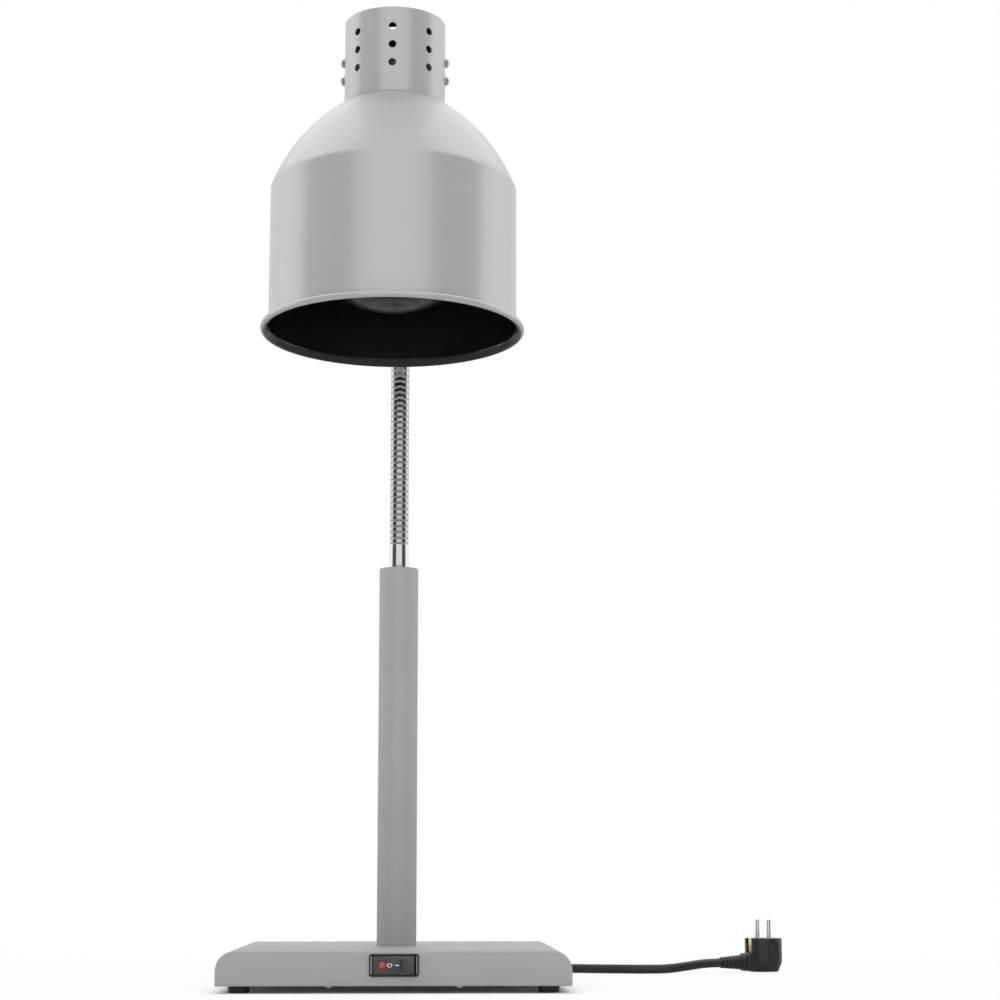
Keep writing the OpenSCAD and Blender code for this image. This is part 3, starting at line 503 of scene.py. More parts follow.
def pin_mesh():
    """Two pins with a small collar where they leave the plug."""
    bm = bmesh.new()
    for side in (-1, 1):
        place = PLUG @ Matrix.Translation((0, side * PIN_Y * MM, 0))
        outline = fillet([(0, PLUG_T - 1), (PIN_R, PLUG_T - 1), (PIN_R, PIN_END, 1.9), (0, PIN_END)], 6)
        lathe_into(bm, outline, place, 40, False)
        collar_line = fillet([(PIN_R, PLUG_T - 0.5), (PIN_R + 1, PLUG_T - 0.5),
                              (PIN_R + 1, PLUG_T + 0.5, 0.3), (PIN_R, PLUG_T + 0.5)], 3)
        lathe_into(bm, collar_line, place, 40, True)
    return mesh_from(bm, "plug_pin_pair")


plug_pins = add_object("plug_pin_pair", pin_mesh(), [CHROME], "stand", ["plug_pins"])
plug_clips = refined("plug_earth_clips", "plug_clips", 0.25, BRASS, "stand")

BOOT_START, BOOT_LEN, RIB_PITCH, RIB_TAPER = 158, 30, 4.4, 0.3
gland_place = Matrix.Translation((40 * MM, 0, 20 * MM)) @ TOWARD_REAR


def base_boot_outline():
    """Outline of the sleeve at the base: a collar and six ribs that get thinner along it."""
    points = [(4.1, BOOT_START), (7.5, BOOT_START, 0.4), (7.4, BOOT_START + 3, 0.4)]
    for i in range(6):
        thin, at = i * RIB_TAPER, BOOT_START + i * RIB_PITCH
        points += [(6.2 - thin, at + 3.4, 0.2), (6.2 - thin, at + 4.6, 0.2), (7.2 - thin, at + 5, 0.3),
                   (7.1 - thin, at + 7.4, 0.3)]
    return fillet(points + [(5.5, BOOT_START + BOOT_LEN, 0.4), (4.1, BOOT_START + BOOT_LEN)], 3)


cord_boot = lathe("cord_sleeve", base_boot_outline(), gland_place, [SHEATH], "stand",
                  ["cord_boot"], 48)
lathe("gland_body", fillet(
    [(4.6, 138), (7, 138, 0.4), (7, 150), (10, 150), (10, 153, 0.5), (9.3, 153.4, 0.3), (9.9, 154, 0.3),
     (8.2, 158, 0.8), (4.6, 158)], 4),
      gland_place, [PLASTIC], "stand", ["cord_gland"], 48)

# Base

BASE_W, BASE_D, FOOT_H, COVER_H, COVER_R, WALL = 300, 300, 6, 29, 16, 1.5
EDGE_R, LIP_R = 1.4, 1.3
TOP_Z = FOOT_H + COVER_H
FRONT_Y, REAR_Y = -BASE_D / 2, BASE_D / 2
SWITCH_Z = TOP_Z - 11.7
PLATE_TOP, UNDER_TOP = FOOT_H + 2, TOP_Z - WALL
FOOT_AT, TAB_X, TAB_Y, TAB_HALF, TAB_T, SCREW_HOLE = 131, 55, 141.5, 7, 3, 2.05


def cover_section(inset, steps=10):
    """The bent sheet seen from the front, from its left lip to its right one, drawn in by some
    millimetres: half round corners at both ends of a flat top."""
    w, top, r = BASE_W - 2 * inset, TOP_Z - inset, COVER_R - inset
    points = [(-w / 2, FOOT_H)]
    for k in range(steps + 1):
        a = math.pi - math.pi / 2 * k / steps
        points.append((-w / 2 + r + r * math.cos(a), top - r + r * math.sin(a)))
    for k in range(steps + 1):
        a = math.pi / 2 - math.pi / 2 * k / steps
        points.append((w / 2 - r + r * math.cos(a), top - r + r * math.sin(a)))
    return points + [(w / 2, FOOT_H)]


def loft(bm, sections, flip=False):
    """Joins rings of the same number of points; each ring is given in millimetres."""
    rings = [[bm.verts.new(Vector(p) * MM) for p in ring] for ring in sections]
    for low, high in zip(rings, rings[1:]):
        for k in range(len(low) - 1):
            corners = [low[k], low[k + 1], high[k + 1], high[k]]
            bm.faces.new(corners[::-1] if flip else corners)
    return rings


def cover_mesh():
    """The base's open box of bent sheet, with rounded edges at its front and back walls."""
    bm = bmesh.new()
    bends = [(FRONT_Y, EDGE_R)]
    bends += [(FRONT_Y + EDGE_R * (1 - math.cos(a)), EDGE_R * (1 - math.sin(a)))
              for a in (math.pi / 8, math.pi / 4, 3 * math.pi / 8, math.pi / 2)]
    bends += [(-y, inset) for y, inset in reversed(bends)]
    rings = loft(bm, [[(x, y, z) for x, z in cover_section(inset)] for y, inset in bends])
    bm.faces.new(rings[0])
    bm.faces.new(rings[-1][::-1])
    inner_rings = loft(bm, [[(x, y, z) for x, z in cover_section(WALL)]
                            for y in (FRONT_Y + WALL, REAR_Y - WALL)], True)
    bm.faces.new(inner_rings[0][::-1])
    bm.faces.new(inner_rings[1])
    # the lower edge, between the outer and the inner skin
    left, right = [ring[0] for ring in rings], [ring[-1] for ring in rings]
    inner_left, inner_right = [ring[0] for ring in inner_rings], [ring[-1] for ring in inner_rings]
    bm.faces.new(left + inner_left[::-1])
    bm.faces.new(right[::-1] + inner_right)
    bm.faces.new([right[0], left[0], inner_left[0], inner_right[0]])
    bm.faces.new([left[-1], right[-1], inner_right[1], inner_left[1]])
    bmesh.ops.recalc_face_normals(bm, faces=bm.faces)
    # the sheet's lower edge is turned in with a small radius
    low_edges = [bm.edges.get(pair) for chain in (left, right) for pair in zip(chain, chain[1:])]
    low_edges += [bm.edges.get((left[0], right[0])), bm.edges.get((left[-1], right[-1]))]
    bmesh.ops.bevel(bm, geom=low_edges, offset=LIP_R * MM, offset_type="OFFSET", segments=4,
                    profile=0.5, affect="EDGES")
    mesh = bpy.data.meshes.new("cover_skin")
    bm.to_mesh(mesh)
    bm.free()
    return mesh


cover = add_object("cover_skin", cover_mesh(), [POWDER], "stand", ["base_cover"])
cut_bm = bmesh.new()
box_into(cut_bm, (-20.4, FRONT_Y - 3, SWITCH_Z - 8.9), (20.4, FRONT_Y + 3, SWITCH_Z + 8.9))
lathe_into(cut_bm, [(0, 145), (7.05, 145), (7.05, 155), (0, 155)], gland_place, 40, False)
lathe_into(cut_bm, [(0, TOP_Z - 4), (5.05, TOP_Z - 4), (5.05, TOP_Z + 3), (0, TOP_Z + 3)],
           COLUMN_PLACE, 40, False)
carve(cover, cut_bm)


def inside_of_cover(mesh):
    """Adds the posts for the foot screws and the tabs for the plate screws."""
    bm = bmesh.new()
    bm.from_mesh(mesh)
    for sx in (-1, 1):
        for sy in (-1, 1):
            lathe_into(bm, [(SCREW_HOLE, PLATE_TOP), (4.2, PLATE_TOP), (4.5, PLATE_TOP + 0.3),
                            (4.5, UNDER_TOP), (0, UNDER_TOP), (0, PLATE_TOP + 9),
                            (SCREW_HOLE, PLATE_TOP + 9)],
                       Matrix.Translation((sx * FOOT_AT * MM, sy * FOOT_AT * MM, 0)), 32)
            rings = []
            for hole, z in ((False, PLATE_TOP), (False, PLATE_TOP + TAB_T), (True, PLATE_TOP + TAB_T),
                            (True, PLATE_TOP)):
                ring = []
                for k in range(32):
                    a = math.pi * k / 16
                    r = SCREW_HOLE if hole else TAB_HALF / max(abs(math.cos(a)), abs(math.sin(a)))
                    ring.append(bm.verts.new(Vector((sx * TAB_X + r * math.cos(a),
                                                     sy * TAB_Y + r * math.sin(a), z)) * MM))
                rings.append(ring)
            close_tube(bm, rings)
    bm.to_mesh(mesh)
    bm.free()


inside_of_cover(cover.data)
soften(cover.data, 30)

# Column

COLUMN_TOP, COLUMN_R, COLUMN_BORE = TOP_Z + 345, 18, 16.5
NECK_LOW = COLUMN_TOP + 23
lathe("column_tube", fillet([(COLUMN_BORE, TOP_Z), (COLUMN_R, TOP_Z, 0.4), (COLUMN_R, COLUMN_TOP, 0.6),
                             (COLUMN_BORE, COLUMN_TOP)], 4),
      COLUMN_PLACE, [POWDER], "stand", ["column"], 128)
lathe("ferrule_low", fillet(
    [(3.8, COLUMN_TOP - 20), (5, COLUMN_TOP - 20), (5, COLUMN_TOP), (9, COLUMN_TOP, 0.5),
     (9, NECK_LOW, 0.7), (3.8, NECK_LOW)], 4),
      ARM, [CHROME], "stand", ["lower_ferrule"], 96)

# Head's measures, from the rim's plane up its axis

RIM_R, FLARE, BEAD, SHEET = 110, 4, 3, 1.2
DOME_R, DOME_FROM, DOME_LOW = 164, math.radians(20.7), 128.7
COLLAR_R, COLLAR_H = 45.5, 79
DOME_CENTRE_R = RIM_R - DOME_R * math.cos(DOME_FROM)
DOME_CENTRE_H = DOME_LOW - DOME_R * math.sin(DOME_FROM)
DOME_TO = math.acos((COLLAR_R - DOME_CENTRE_R) / DOME_R)
COLLAR_LOW = DOME_CENTRE_H + DOME_R * math.sin(DOME_TO)
HEAD_TOP = COLLAR_LOW + COLLAR_H
VENTS = [HEAD_TOP - 18.5 - 17.1 * row for row in range(3)]

# Gooseneck: one ribbed tube in stretches, cut at lengths between the joints' places. It goes straight up
# and then turns forward into the collar's back at the height of the middle row of holes

PITCH, NECK_R, NECK_GROOVE, NECK_BORE = 5.5, 8.75, 0.5, 5.2
FERRULE_LEN = 25
entry_y = -HEAD_REACH + COLLAR_R * math.cos(TILT) + VENTS[1] * math.sin(TILT)
entry_z = HEAD_HEIGHT - COLLAR_R * math.sin(TILT) + VENTS[1] * math.cos(TILT)
BEND_R = (-entry_y - FERRULE_LEN * math.cos(TILT)) / (1 - math.sin(TILT))
BEND_Z = entry_z - FERRULE_LEN * math.sin(TILT) - BEND_R * math.cos(TILT)
STRAIGHT = BEND_Z - NECK_LOW
TOTAL = STRAIGHT + BEND_R * (math.pi / 2 - TILT)


def neck_point(s):
    """Centre and heading of the gooseneck, s millimetres along it."""
    if s <= STRAIGHT:
        return Vector((0, 0, NECK_LOW + s)), Vector((0, 0, 1))
    a = (s - STRAIGHT) / BEND_R
    return (Vector((0, -BEND_R * (1 - math.cos(a)), BEND_Z + BEND_R * math.sin(a))),
            Vector((0, -math.sin(a), math.cos(a))))


def bead_stations(start, end):
    """Stations and radii of the ribs from one length to another, each rib softly rounded."""
    shape = [(0.00, -NECK_GROOVE), (0.035, -0.30), (0.075, -0.12), (0.13, -0.03), (0.22, 0.0),
             (0.70, 0.0), (0.79, -0.03), (0.845, -0.12), (0.885, -0.30), (0.92, -NECK_GROOVE),
             (0.96, -NECK_GROOVE - 0.05)]
    out = []
    for i in range(int(round((end - start) / PITCH))):
        for u, r in shape:
            out.append((start + (i + u) * PITCH, NECK_R + r))
    out.append((end, NECK_R - NECK_GROOVE))
    return [(s, r) for s, r in out if s <= end + 1e-6]


def neck_mesh(name, start, end, sides=64):
    """One stretch of the ribbed tube, out along its ribs and back along its bore."""
    bm = bmesh.new()
    rings = []
    across = Vector((1, 0, 0))
    stations = bead_stations(start, end)
    steps = max(2, int(round((end - start) / PITCH)))
    stations += [(start + (end - start) * k / steps, NECK_BORE) for k in range(steps, -1, -1)]
    for s, r in stations:
        centre, ahead = neck_point(s)
        up = ahead.cross(across)
        rings.append([bm.verts.new(ARM @ ((centre + across * r * math.cos(2 * math.pi * k / sides)
                                           + up * r * math.sin(2 * math.pi * k / sides)) * MM))
                      for k in range(sides)])
    close_tube(bm, rings)
    bmesh.ops.recalc_face_normals(bm, faces=bm.faces)
    mesh = bpy.data.meshes.new(name)
    bm.to_mesh(mesh)
    bm.free()
    soften(mesh, 50)
    return mesh


# each joint's place, the lengths at which the tube is cut into stretches about them, and the CAD nodes
# each stretch hides
pivots = [(4 + 6 * i) * PITCH for i in range(4)] + [STRAIGHT + b * PITCH for b in (8, 15)]
cuts = [0, 7 * PITCH, 13 * PITCH, 19 * PITCH, 29 * PITCH, STRAIGHT + 12 * PITCH, TOTAL]
old_nodes = [["gooseneck_base"], ["gooseneck_1"], ["gooseneck_2"], ["gooseneck_3"],
             ["gooseneck_4"], ["gooseneck_5", "gooseneck_tip"]]
for i, pivot in enumerate(pivots):
    name = f"neck_stretch_{i + 1}"
    stretch = add_object(name, neck_mesh(name, cuts[i], cuts[i + 1]), [NECK_STEEL], None)
    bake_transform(stretch)
    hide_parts(*old_nodes[i])

# Shade


def dome_arc(radius, steps=28):
    """The dome's line from the wall up to the collar, at a radius about its centre."""
    turns = [DOME_FROM + (DOME_TO - DOME_FROM) * k / steps for k in range(steps + 1)]
    return [(DOME_CENTRE_R + radius * math.cos(a), DOME_CENTRE_H + radius * math.sin(a)) for a in turns]


def shade_profile():
    """Outline of the spun sheet and each step's side: 0 outside, 1 inside."""
    points, sides = [], []

    def put(r, h, side):
        points.append((r, h))
        sides.append(side)

    # rolled bead, from its top on the outside, over its lowest point, to the inside
    steps = 14
    for k in range(steps + 1):
        a = math.radians(125 - 290 * k / steps)
        put(RIM_R + FLARE + BEAD * math.cos(a), BEAD * math.sin(a),
            0 if math.degrees(a) > -75 else 1)
    put(RIM_R + 0.2, 0.2, 1)
    put(RIM_R - 0.9, 1.6, 1)
    put(RIM_R - SHEET, 4, 1)
    for k in range(7):
        put(RIM_R - SHEET, 4 + (DOME_LOW - 8) * (k + 1) / 7, 1)
    put(RIM_R - SHEET, DOME_LOW, 1)
    for r, h in dome_arc(DOME_R - SHEET):
        put(r, h, 1)
    # the neck that stands in the collar
    put(43.2, COLLAR_LOW - 0.6, 1)
    put(43.2, COLLAR_LOW + 4, 1)
    put(44.2, COLLAR_LOW + 4, 0)
    put(44.2, COLLAR_LOW, 0)
    for r, h in reversed(dome_arc(DOME_R)):
        put(r, h, 0)
    put(RIM_R, DOME_LOW - 1.5, 0)
    for k in range(6, -1, -1):
        put(RIM_R, 5 + 119 * k / 7, 0)
    put(RIM_R + 0.3, 3.4, 0)
    put(RIM_R + 1.2, 2.2, 0)
    return points, sides


profile, sides_of = shade_profile()
lathe("shade_skin", profile, HEAD, [SATIN, ENAMEL], "head", ["shade"], 192, sides_of, 50)

# Collar

COLLAR_BORE, VENT_R, ENTRY_R = COLLAR_R - SHEET, 3.5, 5.1
bm = lathe_into(bmesh.new(), fillet(
    [(COLLAR_BORE, COLLAR_LOW), (COLLAR_R, COLLAR_LOW, 0.3), (COLLAR_R, HEAD_TOP, 0.55),
     (COLLAR_BORE, HEAD_TOP, 0.5)], 4), HEAD, 192, True)
collar = add_object("collar_skin", mesh_from(bm, "collar_skin"), [SATIN], "head",
                    ["collar"])
cut_bm = bmesh.new()
for angle in (-135, -45, 0, 45, 135):
    for h in VENTS:
        place = (HEAD @ Matrix.Rotation(math.radians(angle), 4, "Z")
                 @ Matrix.Translation((0, -45 * MM, h * MM)) @ TOWARD_REAR)
        lathe_into(cut_bm, [(0, -5), (VENT_R, -5), (VENT_R, 6), (0, 6)], place, 40, False)
place = HEAD @ Matrix.Translation((0, 45 * MM, VENTS[1] * MM)) @ TOWARD_REAR
lathe_into(cut_bm, [(0, -5), (ENTRY_R, -5), (ENTRY_R, 5), (0, 5)], place, 40, False)
carve(collar, cut_bm)
rounded(collar, 0.22, 2, 50)


def true_round(ob, matrix, radius):
    """Gives the faces of a turned wall the normals of its cylinder, so that it shades evenly, also
    beside holes."""
    mesh = ob.data
    back = matrix.inverted()
    axis = (matrix.to_3x3() @ Vector((0, 0, 1))).normalized()
    normals = [Vector(corner.vector) for corner in mesh.corner_normals]
    for face in mesh.polygons:
        for k in face.loop_indices:
            place = mesh.vertices[mesh.loops[k].vertex_index].co
            local = back @ place
            if abs(math.hypot(local.x, local.y) - radius * MM) > 0.00008:
                continue
            out = place - matrix.translation
            out = (out - axis * out.dot(axis)).normalized()
            if face.normal.dot(out) > 0.985:
                normals[k] = out
    mesh.normals_split_custom_set(normals)


true_round(collar, HEAD, COLLAR_R)

lathe("top_cap", fillet([(13.5, HEAD_TOP - 6.2), (13.5, HEAD_TOP - 5, 0.4), (44.2, HEAD_TOP - 5, 0.4),
                         (44.2, HEAD_TOP - 6.2)], 4),
      HEAD, [PLATE_BLACK], "head", ["top_plate"], 128)

# Side screws: round heads with a cross recess, two at either side of the collar

SCREW_BALL, SCREW_TOP = 4.82, 49.5
screw_places = [
    HEAD @ Matrix.Translation((0, 0, h * MM)) @ Matrix.Rotation(math.radians(90 * side), 4, "Y")
    for side in (-1, 1) for h in VENTS[1:]]
screw_dome = [(SCREW_BALL * math.sin(a), SCREW_TOP - SCREW_BALL * (1 - math.cos(a)))
              for a in [math.radians(83.5 * k / 10) for k in range(10, -1, -1)]]
screws_bm = bmesh.new()
for place in screw_places:
    lathe_into(screws_bm, [(0, 39), (1.6, 39), (2, 39.4), (2, 45.4), (4.5, 45.4)] + screw_dome, place,
               48, False)
screws = add_object("side_screws", mesh_from(screws_bm, "side_screws"), [ZINC], "head",
                    ["bracket_screws"])
for half_length, half_width in ((2.1, 0.4), (0.4, 2.1)):
    cut_bm = bmesh.new()
    for place in screw_places:
        box_into(cut_bm, (-half_length, -half_width, SCREW_TOP - 1.6),
                 (half_length, half_width, SCREW_TOP + 1.5), place)
    carve(screws, cut_bm)
soften(screws.data, 35)

# Bulb

FACE_R, BULB_R, GLASS = 88, 62.5, 1.0
CAP_TOP = HEAD_TOP - 87.5
CAP_LOW = CAP_TOP - 27
BULB_LOW = CAP_TOP - 181
FACE_CENTRE = BULB_LOW + FACE_R
BULB_WAIST = BULB_LOW + 66
MIRROR_FROM = BULB_WAIST - 14


def bulb_profile(inset):
    """The bulb's outline from the middle of its face up to its cap, drawn in by some millimetres."""
    r, side = FACE_R - inset, BULB_R - inset
    edge = math.asin(min(1, (side - 2) / r))
    face = [(r * math.sin(edge * i / 24), FACE_CENTRE - r * math.cos(edge * i / 24)) for i in range(25)]
    face_end = face[-1][1]
    body = fillet([(side - 2, face_end), (side, face_end + 7, 3), (side, BULB_WAIST + 2, 12),
                   (side - 3, BULB_WAIST + 16, 12), (side - 22, BULB_WAIST + 46, 20),
                   (side - 36, BULB_WAIST + 66, 16), (18 - inset, CAP_LOW - 8, 10),
                   (13 - inset, CAP_LOW, 3), (13 - inset, CAP_LOW + 8)], 5)
    return face + body[1:]


envelope = bulb_profile(0) + bulb_profile(GLASS)[::-1]
lathe("bulb_envelope", envelope, HEAD, [BULB_FACE, BULB_MIRROR], "head", ["bulb_glass"],
      128, [0 if h < MIRROR_FROM else 1 for r, h in envelope], 40)
thread = []
for i in range(6):
    z = CAP_LOW + 3 + i * 3.3
    thread += [(12.6, z, 0.4), (13.2, z + 0.9, 0.6), (13.2, z + 1.5, 0.6), (12.6, z + 2.4, 0.4)]
cap_profile = fillet([(0, CAP_LOW), (13.1, CAP_LOW, 0.4)] + thread
                     + [(12.4, CAP_TOP - 4, 0.8), (10, CAP_TOP - 3.6, 0.5), (5.5, CAP_TOP - 0.8, 0.5),
                        (4.4, CAP_TOP, 0.4), (0, CAP_TOP)], 3)
lathe("bulb_screw_cap", cap_profile, HEAD, [CAP_ALLOY], "head", ["bulb_cap"], 64)

# Switch

SWITCH_W, SWITCH_H, CORNER_R = 42, 19, 2.2
ROCKER_W, PIVOT_DEPTH, ROCKER_RISE = 35.6, 3.2, 2
PIVOT = (Matrix.Translation((0, (FRONT_Y + PIVOT_DEPTH) * MM, SWITCH_Z * MM))
         @ Matrix.Rotation(math.radians(-7), 4, "Z"))
DIP = -1.6 - 1.6 - PIVOT_DEPTH


def corner_ring(grow, y):
    """The frame's outline with rounded corners, grown by some millimetres, at a depth."""
    w, h, r = SWITCH_W / 2 + grow, SWITCH_H / 2 + grow, max(0.3, CORNER_R + grow)
    ring = []
    for cx, cz, start in ((w - r, h - r, 0), (-w + r, h - r, 90), (-w + r, -h + r, 180),
                          (w - r, -h + r, 270)):
        for k in range(6):
            a = math.radians(start + 90 * k / 5)
            ring.append((cx + r * math.cos(a), y, SWITCH_Z + cz + r * math.sin(a)))
    return ring + ring[:1]


# the frame's flange, crowned: how far each ring is drawn in, and how far it stands out of the base
BEZEL = ((0.0, 0.0), (0.0, 0.6), (0.18, 1.1), (0.5, 1.45), (0.9, 1.6), (1.15, 1.55), (1.35, 1.3),
         (1.4, 0.8), (1.4, -14))
bezel_bm = bmesh.new()
loft(bezel_bm, [corner_ring(-drawn_in, FRONT_Y - proud) for drawn_in, proud in BEZEL])
add_object("switch_bezel", mesh_from(bezel_bm, "switch_bezel", 50), [PLASTIC], "stand")
housing = refined("switch_frame", "switch_housing", 0.3, PLASTIC, "stand")
block_bm = bmesh.new()
block_rings = loft(block_bm, [corner_ring(-0.35, FRONT_Y - 0.9), corner_ring(-0.35, FRONT_Y + 30)])
block_bm.faces.new(block_rings[0][:-1])
block_bm.faces.new(block_rings[1][:-1][::-1])
carve(housing, block_bm, "INTERSECT")
soften(housing.data, 35)
# Light grey strips in the gaps at both ends of the rocker, where there would be shade: a painted
# highlight, so that these ends show bright
highlight_strips_bm = bmesh.new()
for side in (-1, 1):
    ends = sorted((side * 18.7, side * 19.55))
    box_into(highlight_strips_bm, (ends[0], FRONT_Y - 1.3, SWITCH_Z - 7.5), (ends[1], FRONT_Y + 5, SWITCH_Z + 7.5))
highlight_strips = add_object("switch_end_highlight_strips", mesh_from(highlight_strips_bm, "highlight_strips_mesh"), [HIGHLIGHT_GREY], "stand")
rounded(highlight_strips, 0.2, 2)
refined("switch_rocker", "rocker_key", 0.35, ROCKER, "rocker")


def rocker_face(x):
    """Distance of the rocker's face from its pivot along Y, at a place along X, in millimetres."""
    return DIP + ROCKER_RISE * (1 - abs(x) / (ROCKER_W / 2 - 1))


def mark_mesh():
    """The O as a ring and the I as a short dash, let into the rocker's face."""
    bm = bmesh.new()
    sides, proud, sunk = 40, -0.05, 0.02

    def on_face(x, z, lift):
        return bm.verts.new(PIVOT @ (Vector((x, rocker_face(x) + lift, z)) * MM))

    centre, r_out, r_in, longer = -3.15, 1.6, 1.05, 0.65
    turns = [2 * math.pi * k / sides for k in range(sides)]
    close_tube(bm, [[on_face(centre + (r + longer) * math.cos(a), r * math.sin(a), lift) for a in turns]
                    for r, lift in ((r_out, sunk), (r_out, proud), (r_in, proud), (r_in, sunk))])
    x0, x1, half = 1.7, 5.0, 0.42
    corners = ((x0, -half), (x1, -half), (x1, half), (x0, half))
    front, back = [[on_face(x, z, lift) for x, z in corners] for lift in (proud, sunk)]
    bm.faces.new(front)
    bm.faces.new(back[::-1])
    for k in range(4):
        m = (k + 1) % 4
        bm.faces.new([front[m], front[k], back[k], back[m]])
    return mesh_from(bm, "rocker_marks")


add_object("rocker_marks", mark_mesh(), [MARK], "rocker")
# A dark box around the rocker's finger ridge, darker than the rocker: partly the ridge itself and partly
# painted shade along it
ridge_and_shade_bm = bmesh.new()
box_into(ridge_and_shade_bm, (5.95, DIP + 0.22, -4.55), (7.65, DIP + 1.6, 4.55), PIVOT)
ridge_and_shade = add_object("rocker_ridge_and_shade", mesh_from(ridge_and_shade_bm, "rocker_ridge_and_shade"), [RUBBER],
                   "rocker")
rounded(ridge_and_shade, 0.15, 2)
lens_place = (PIVOT @ Matrix.Translation((-9.6 * MM, (DIP + 3) * MM, 0))
              @ Matrix.Rotation(math.radians(90), 4, "X"))
lathe("lens_dome", fillet([(0, 0), (3.1, 0), (3.1, 2.1, 0.3), (2.7, 2.75, 0.6), (1.4, 3.0, 1.0),
                           (0, 3.0)], 4),
      lens_place, [LENS_RED], "rocker", ["rocker_lens"], 48)

# Pieces with a broken edge on the CAD shape

refined("bottom_plate", "closing_plate", 0.2, ZINC, "stand")
refined("holder_bracket", "bracket_strip", 0.3, ZINC, "head")
refined("terminal_block", "connector_block", 0.5, BLOCK, "stand")
refined("stiffener_plate", "stiffener", 0.5, ZINC, "stand")
refined("lamp_holder", "holder_body", 0.8, CERAMIC, "head", 3)
refined("rubber_feet", "feet", 0.5, RUBBER, "stand", 3)
refined("plate_screws", "plate_screw_heads", 0.2, CHROME, "stand")
refined("nipple_nut", "nipple_locknut", 0.4, BRASS, "stand")
refined("collar_nut", "collar_locknut", 0.4, BRASS, "head")
refined("gland_nut", "gland_locknut", 0.4, PLASTIC, "stand")
refined("bracket_nuts", "bracket_locknuts", 0.3, ZINC, "head")

# CAD nodes that keep their shape take a finish with detail

for node, material in {
        "foot_screws": ZINC, "column_foot_plug": ZINC, "threaded_nipple": BRASS,
        "column_top_bush": ZINC, "column_lead": SHEATH, "upper_ferrule": CHROME,
        "holder_shell": BRASS, "holder_screws": ZINC, "bulb_filament": TUNGSTEN,
        "head_leads": INSULATION, "switch_terminals": BRASS, "earth_stud": ZINC,
        "base_leads": INSULATION}.items():
    mesh = NODES[node].data
    for i in range(len(mesh.materials)):
        mesh.materials[i] = material
    if not mesh.materials:
        mesh.materials.append(material)

# Stage: pale floor, white world, soft light, and cards that only reflections show


def combined(tree, operation, first, second):
    """The result of a sum, product or maximum, held between 0 and 1."""
    node = tree.nodes.new("ShaderNodeMath")
    node.operation = operation
    node.use_clamp = True
    link(tree, first, node.inputs[0])
    link(tree, second, node.inputs[1])
    return node.outputs[0]


def rays_that_show(tree):
    """One for rays that show the background: from the camera, from metal and through glass."""
    path = tree.nodes.new("ShaderNodeLightPath")
    total = path.outputs["Is Camera Ray"]
    for kind in ("Is Glossy Ray", "Is Transmission Ray"):
        total = combined(tree, "ADD", total, path.outputs[kind])
    return total


# the world lights the object with WORLD_LIGHT and is seen as plain white
WORLD_LIGHT, WORLD_SHOWN = 0.62, 1.0
world = bpy.data.worlds.new("studio")
scene.world = world
world.use_nodes = True
tree = world.node_tree
tree.nodes.clear()
mix = tree.nodes.new("ShaderNodeMixShader")
out = tree.nodes.new("ShaderNodeOutputWorld")
link(tree, rays_that_show(tree), mix.inputs["Fac"])
for socket, strength in ((1, WORLD_LIGHT), (2, WORLD_SHOWN)):
    background = tree.nodes.new("ShaderNodeBackground")
    background.inputs["Color"].default_value = grey(1)
    background.inputs["Strength"].default_value = strength
    link(tree, background.outputs[0], mix.inputs[socket])
link(tree, mix.outputs[0], out.inputs["Surface"])


UNDER_BASE = 0.02


def floor_material():
    """A matt floor that shows more plain white the farther it is from the base. Under the base it
    keeps its shadow, and reflections see it darker."""
    material, tree, shader = new_material("pale_floor")
    shader.inputs["Base Color"].default_value = grey(0.86)
    shader.inputs["Roughness"].default_value = 0.9
    shader.inputs["Specular IOR Level"].default_value = 0.1
    white = tree.nodes.new("ShaderNodeEmission")
    mix = tree.nodes.new("ShaderNodeMixShader")
    place = tree.nodes.new("ShaderNodeNewGeometry")
    size = tree.nodes.new("ShaderNodeVectorMath")
    size.operation = "ABSOLUTE"
    parts = tree.nodes.new("ShaderNodeSeparateXYZ")
    link(tree, place.outputs["Position"], size.inputs[0])
    link(tree, size.outputs["Vector"], parts.inputs["Vector"])
    fade = tree.nodes.new("ShaderNodeValToRGB")
    stops = fade.color_ramp.elements
    stops[0].color, stops[1].color = grey(UNDER_BASE), grey(1)
    for position, value in ((0.146, UNDER_BASE), (0.165, 0.8)):
        stops.new(position).color = grey(value)
    link(tree, combined(tree, "MAXIMUM", parts.outputs["X"], parts.outputs["Y"]), fade.inputs["Fac"])
    share = combined(tree, "MULTIPLY", rays_that_show(tree), fade.outputs["Color"])
    path = tree.nodes.new("ShaderNodeLightPath")
    link(tree, spread(tree, path.outputs["Is Glossy Ray"], 1.0, 0.4, 0.0, 1.0), white.inputs["Strength"])
    link(tree, share, mix.inputs["Fac"])
    link(tree, shader.outputs[0], mix.inputs[1])
    link(tree, white.outputs[0], mix.inputs[2])
    link(tree, mix.outputs[0], tree.nodes["Material Output"].inputs["Surface"])
    return material


def flat_panel(name, corners, material):
    """A face of the stage between four corners in metres."""
    mesh = bpy.data.meshes.new(name)
    mesh.from_pydata([Vector(c) for c in corners], [], [(0, 1, 2, 3)])
    mesh.materials.append(material)
    ob = bpy.data.objects.new(name, mesh)
    scene.collection.objects.link(ob)
    return ob


FLOOR_SIZE, CARD_FAR, CARD_HEIGHT = 12, 2.6, 3.0
flat_panel("floor", [(-FLOOR_SIZE, -FLOOR_SIZE, 0), (FLOOR_SIZE, -FLOOR_SIZE, 0),
                     (FLOOR_SIZE, FLOOR_SIZE, 0), (-FLOOR_SIZE, FLOOR_SIZE, 0)], floor_material())

dark_material, _, dark_shader = new_material("dark_card")
dark_shader.inputs["Base Color"].default_value = grey(0.10)
dark_shader.inputs["Roughness"].default_value = 1.0


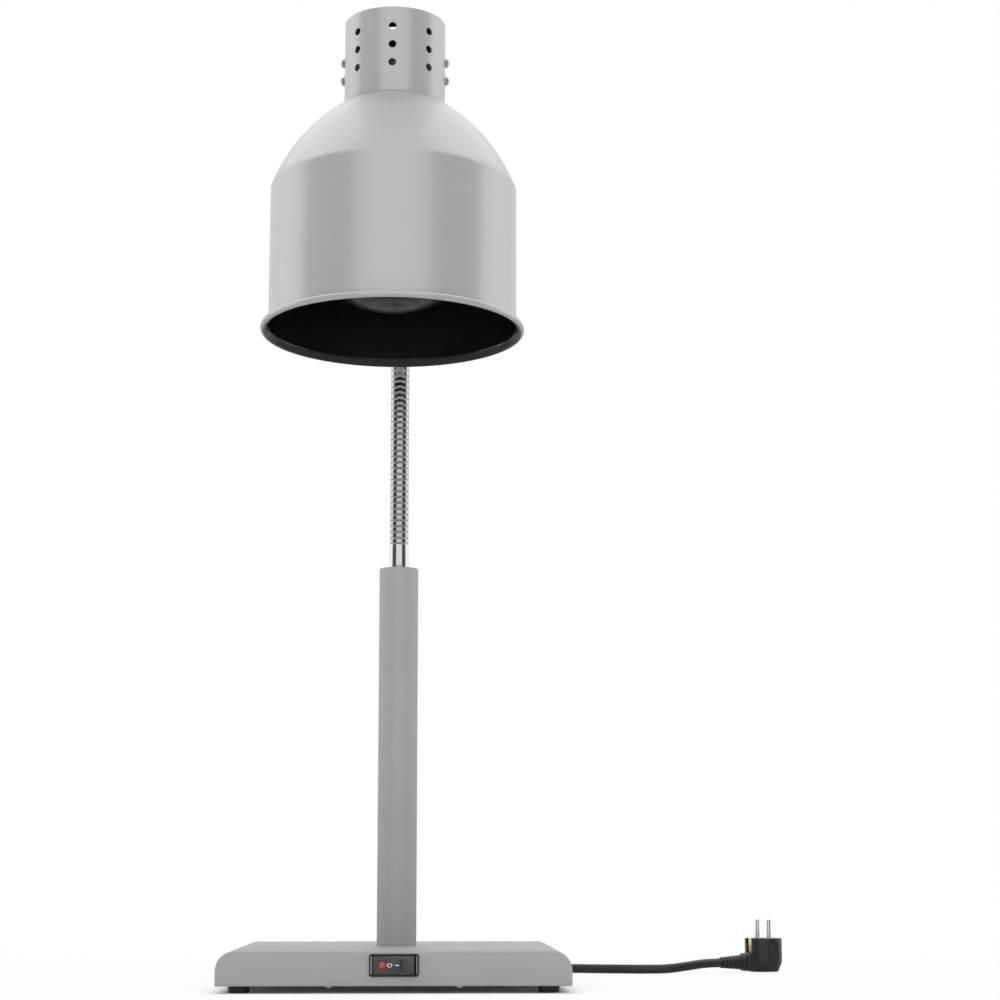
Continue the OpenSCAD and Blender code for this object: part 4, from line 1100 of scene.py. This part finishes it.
def glowing(name, strength):
    """A card's finish that is seen at a plain white strength."""
    material, _, shader = new_material(name)
    shader.inputs["Base Color"].default_value = grey(0)
    shader.inputs["Emission Color"].default_value = grey(1)
    shader.inputs["Emission Strength"].default_value = strength
    return material


bright_material = glowing("bright_card", 1.6)
side_material = glowing("side_card", 1.3)
grey_material = glowing("grey_card", 0.8)


def only_in_metal(card):
    """Leaves a card out of everything but reflections."""
    card.visible_camera = False
    card.visible_shadow = False
    card.visible_diffuse = False


def upright_card(name, side, start, end, material):
    """A card that stands around the object between two bearings from the front."""
    start, end = math.radians(start), math.radians(end)
    near = (side * CARD_FAR * math.sin(start), -CARD_FAR * math.cos(start))
    far = (side * CARD_FAR * math.sin(end), -CARD_FAR * math.cos(end))
    only_in_metal(flat_panel(name, [(*near, 0.0), (*far, 0.0), (*far, CARD_HEIGHT),
                                    (*near, CARD_HEIGHT)], material))


for side, word in ((-1, "left"), (1, "right")):
    upright_card("dark_card_" + word, side, 34, 85, dark_material)
    upright_card("bright_card_" + word, side, 88, 125, side_material)
TOP_Y0, TOP_Y1, TOP_CARD_Z = -0.6, 3.2, 3.05
for name, x0, x1, material in (("grey_card_top", -0.7, 0.7, grey_material),
                               ("bright_card_top_left", -3, -0.7, bright_material),
                               ("bright_card_top_right", 0.7, 3, bright_material)):
    only_in_metal(flat_panel(name, [(x0, TOP_Y0, TOP_CARD_Z), (x1, TOP_Y0, TOP_CARD_Z),
                                    (x1, TOP_Y1, TOP_CARD_Z), (x0, TOP_Y1, TOP_CARD_Z)], material))

# name, place, size in metres, power in watts; all of them point at the lamp's middle
AIM = Vector((0, 0, 0.4))
LAMPS = [
    ("key", (-2.4, -1.3, 2.1), 1.6, 36),
    ("fill", (2.4, -1.3, 1.8), 1.6, 26),
    ("rear", (0.3, 2.2, 2.2), 1.8, 28),
    ("under", (0.0, -2.3, 0.35), 0.9, 7),
]
for name, place, size, power in LAMPS:
    data = bpy.data.lights.new(name, "AREA")
    data.size = size
    data.energy = power
    lamp = bpy.data.objects.new(name, data)
    lamp.location = place
    lamp.rotation_euler = (AIM - Vector(place)).to_track_quat("-Z", "Y").to_euler()
    scene.collection.objects.link(lamp)
    lamp.visible_glossy = False
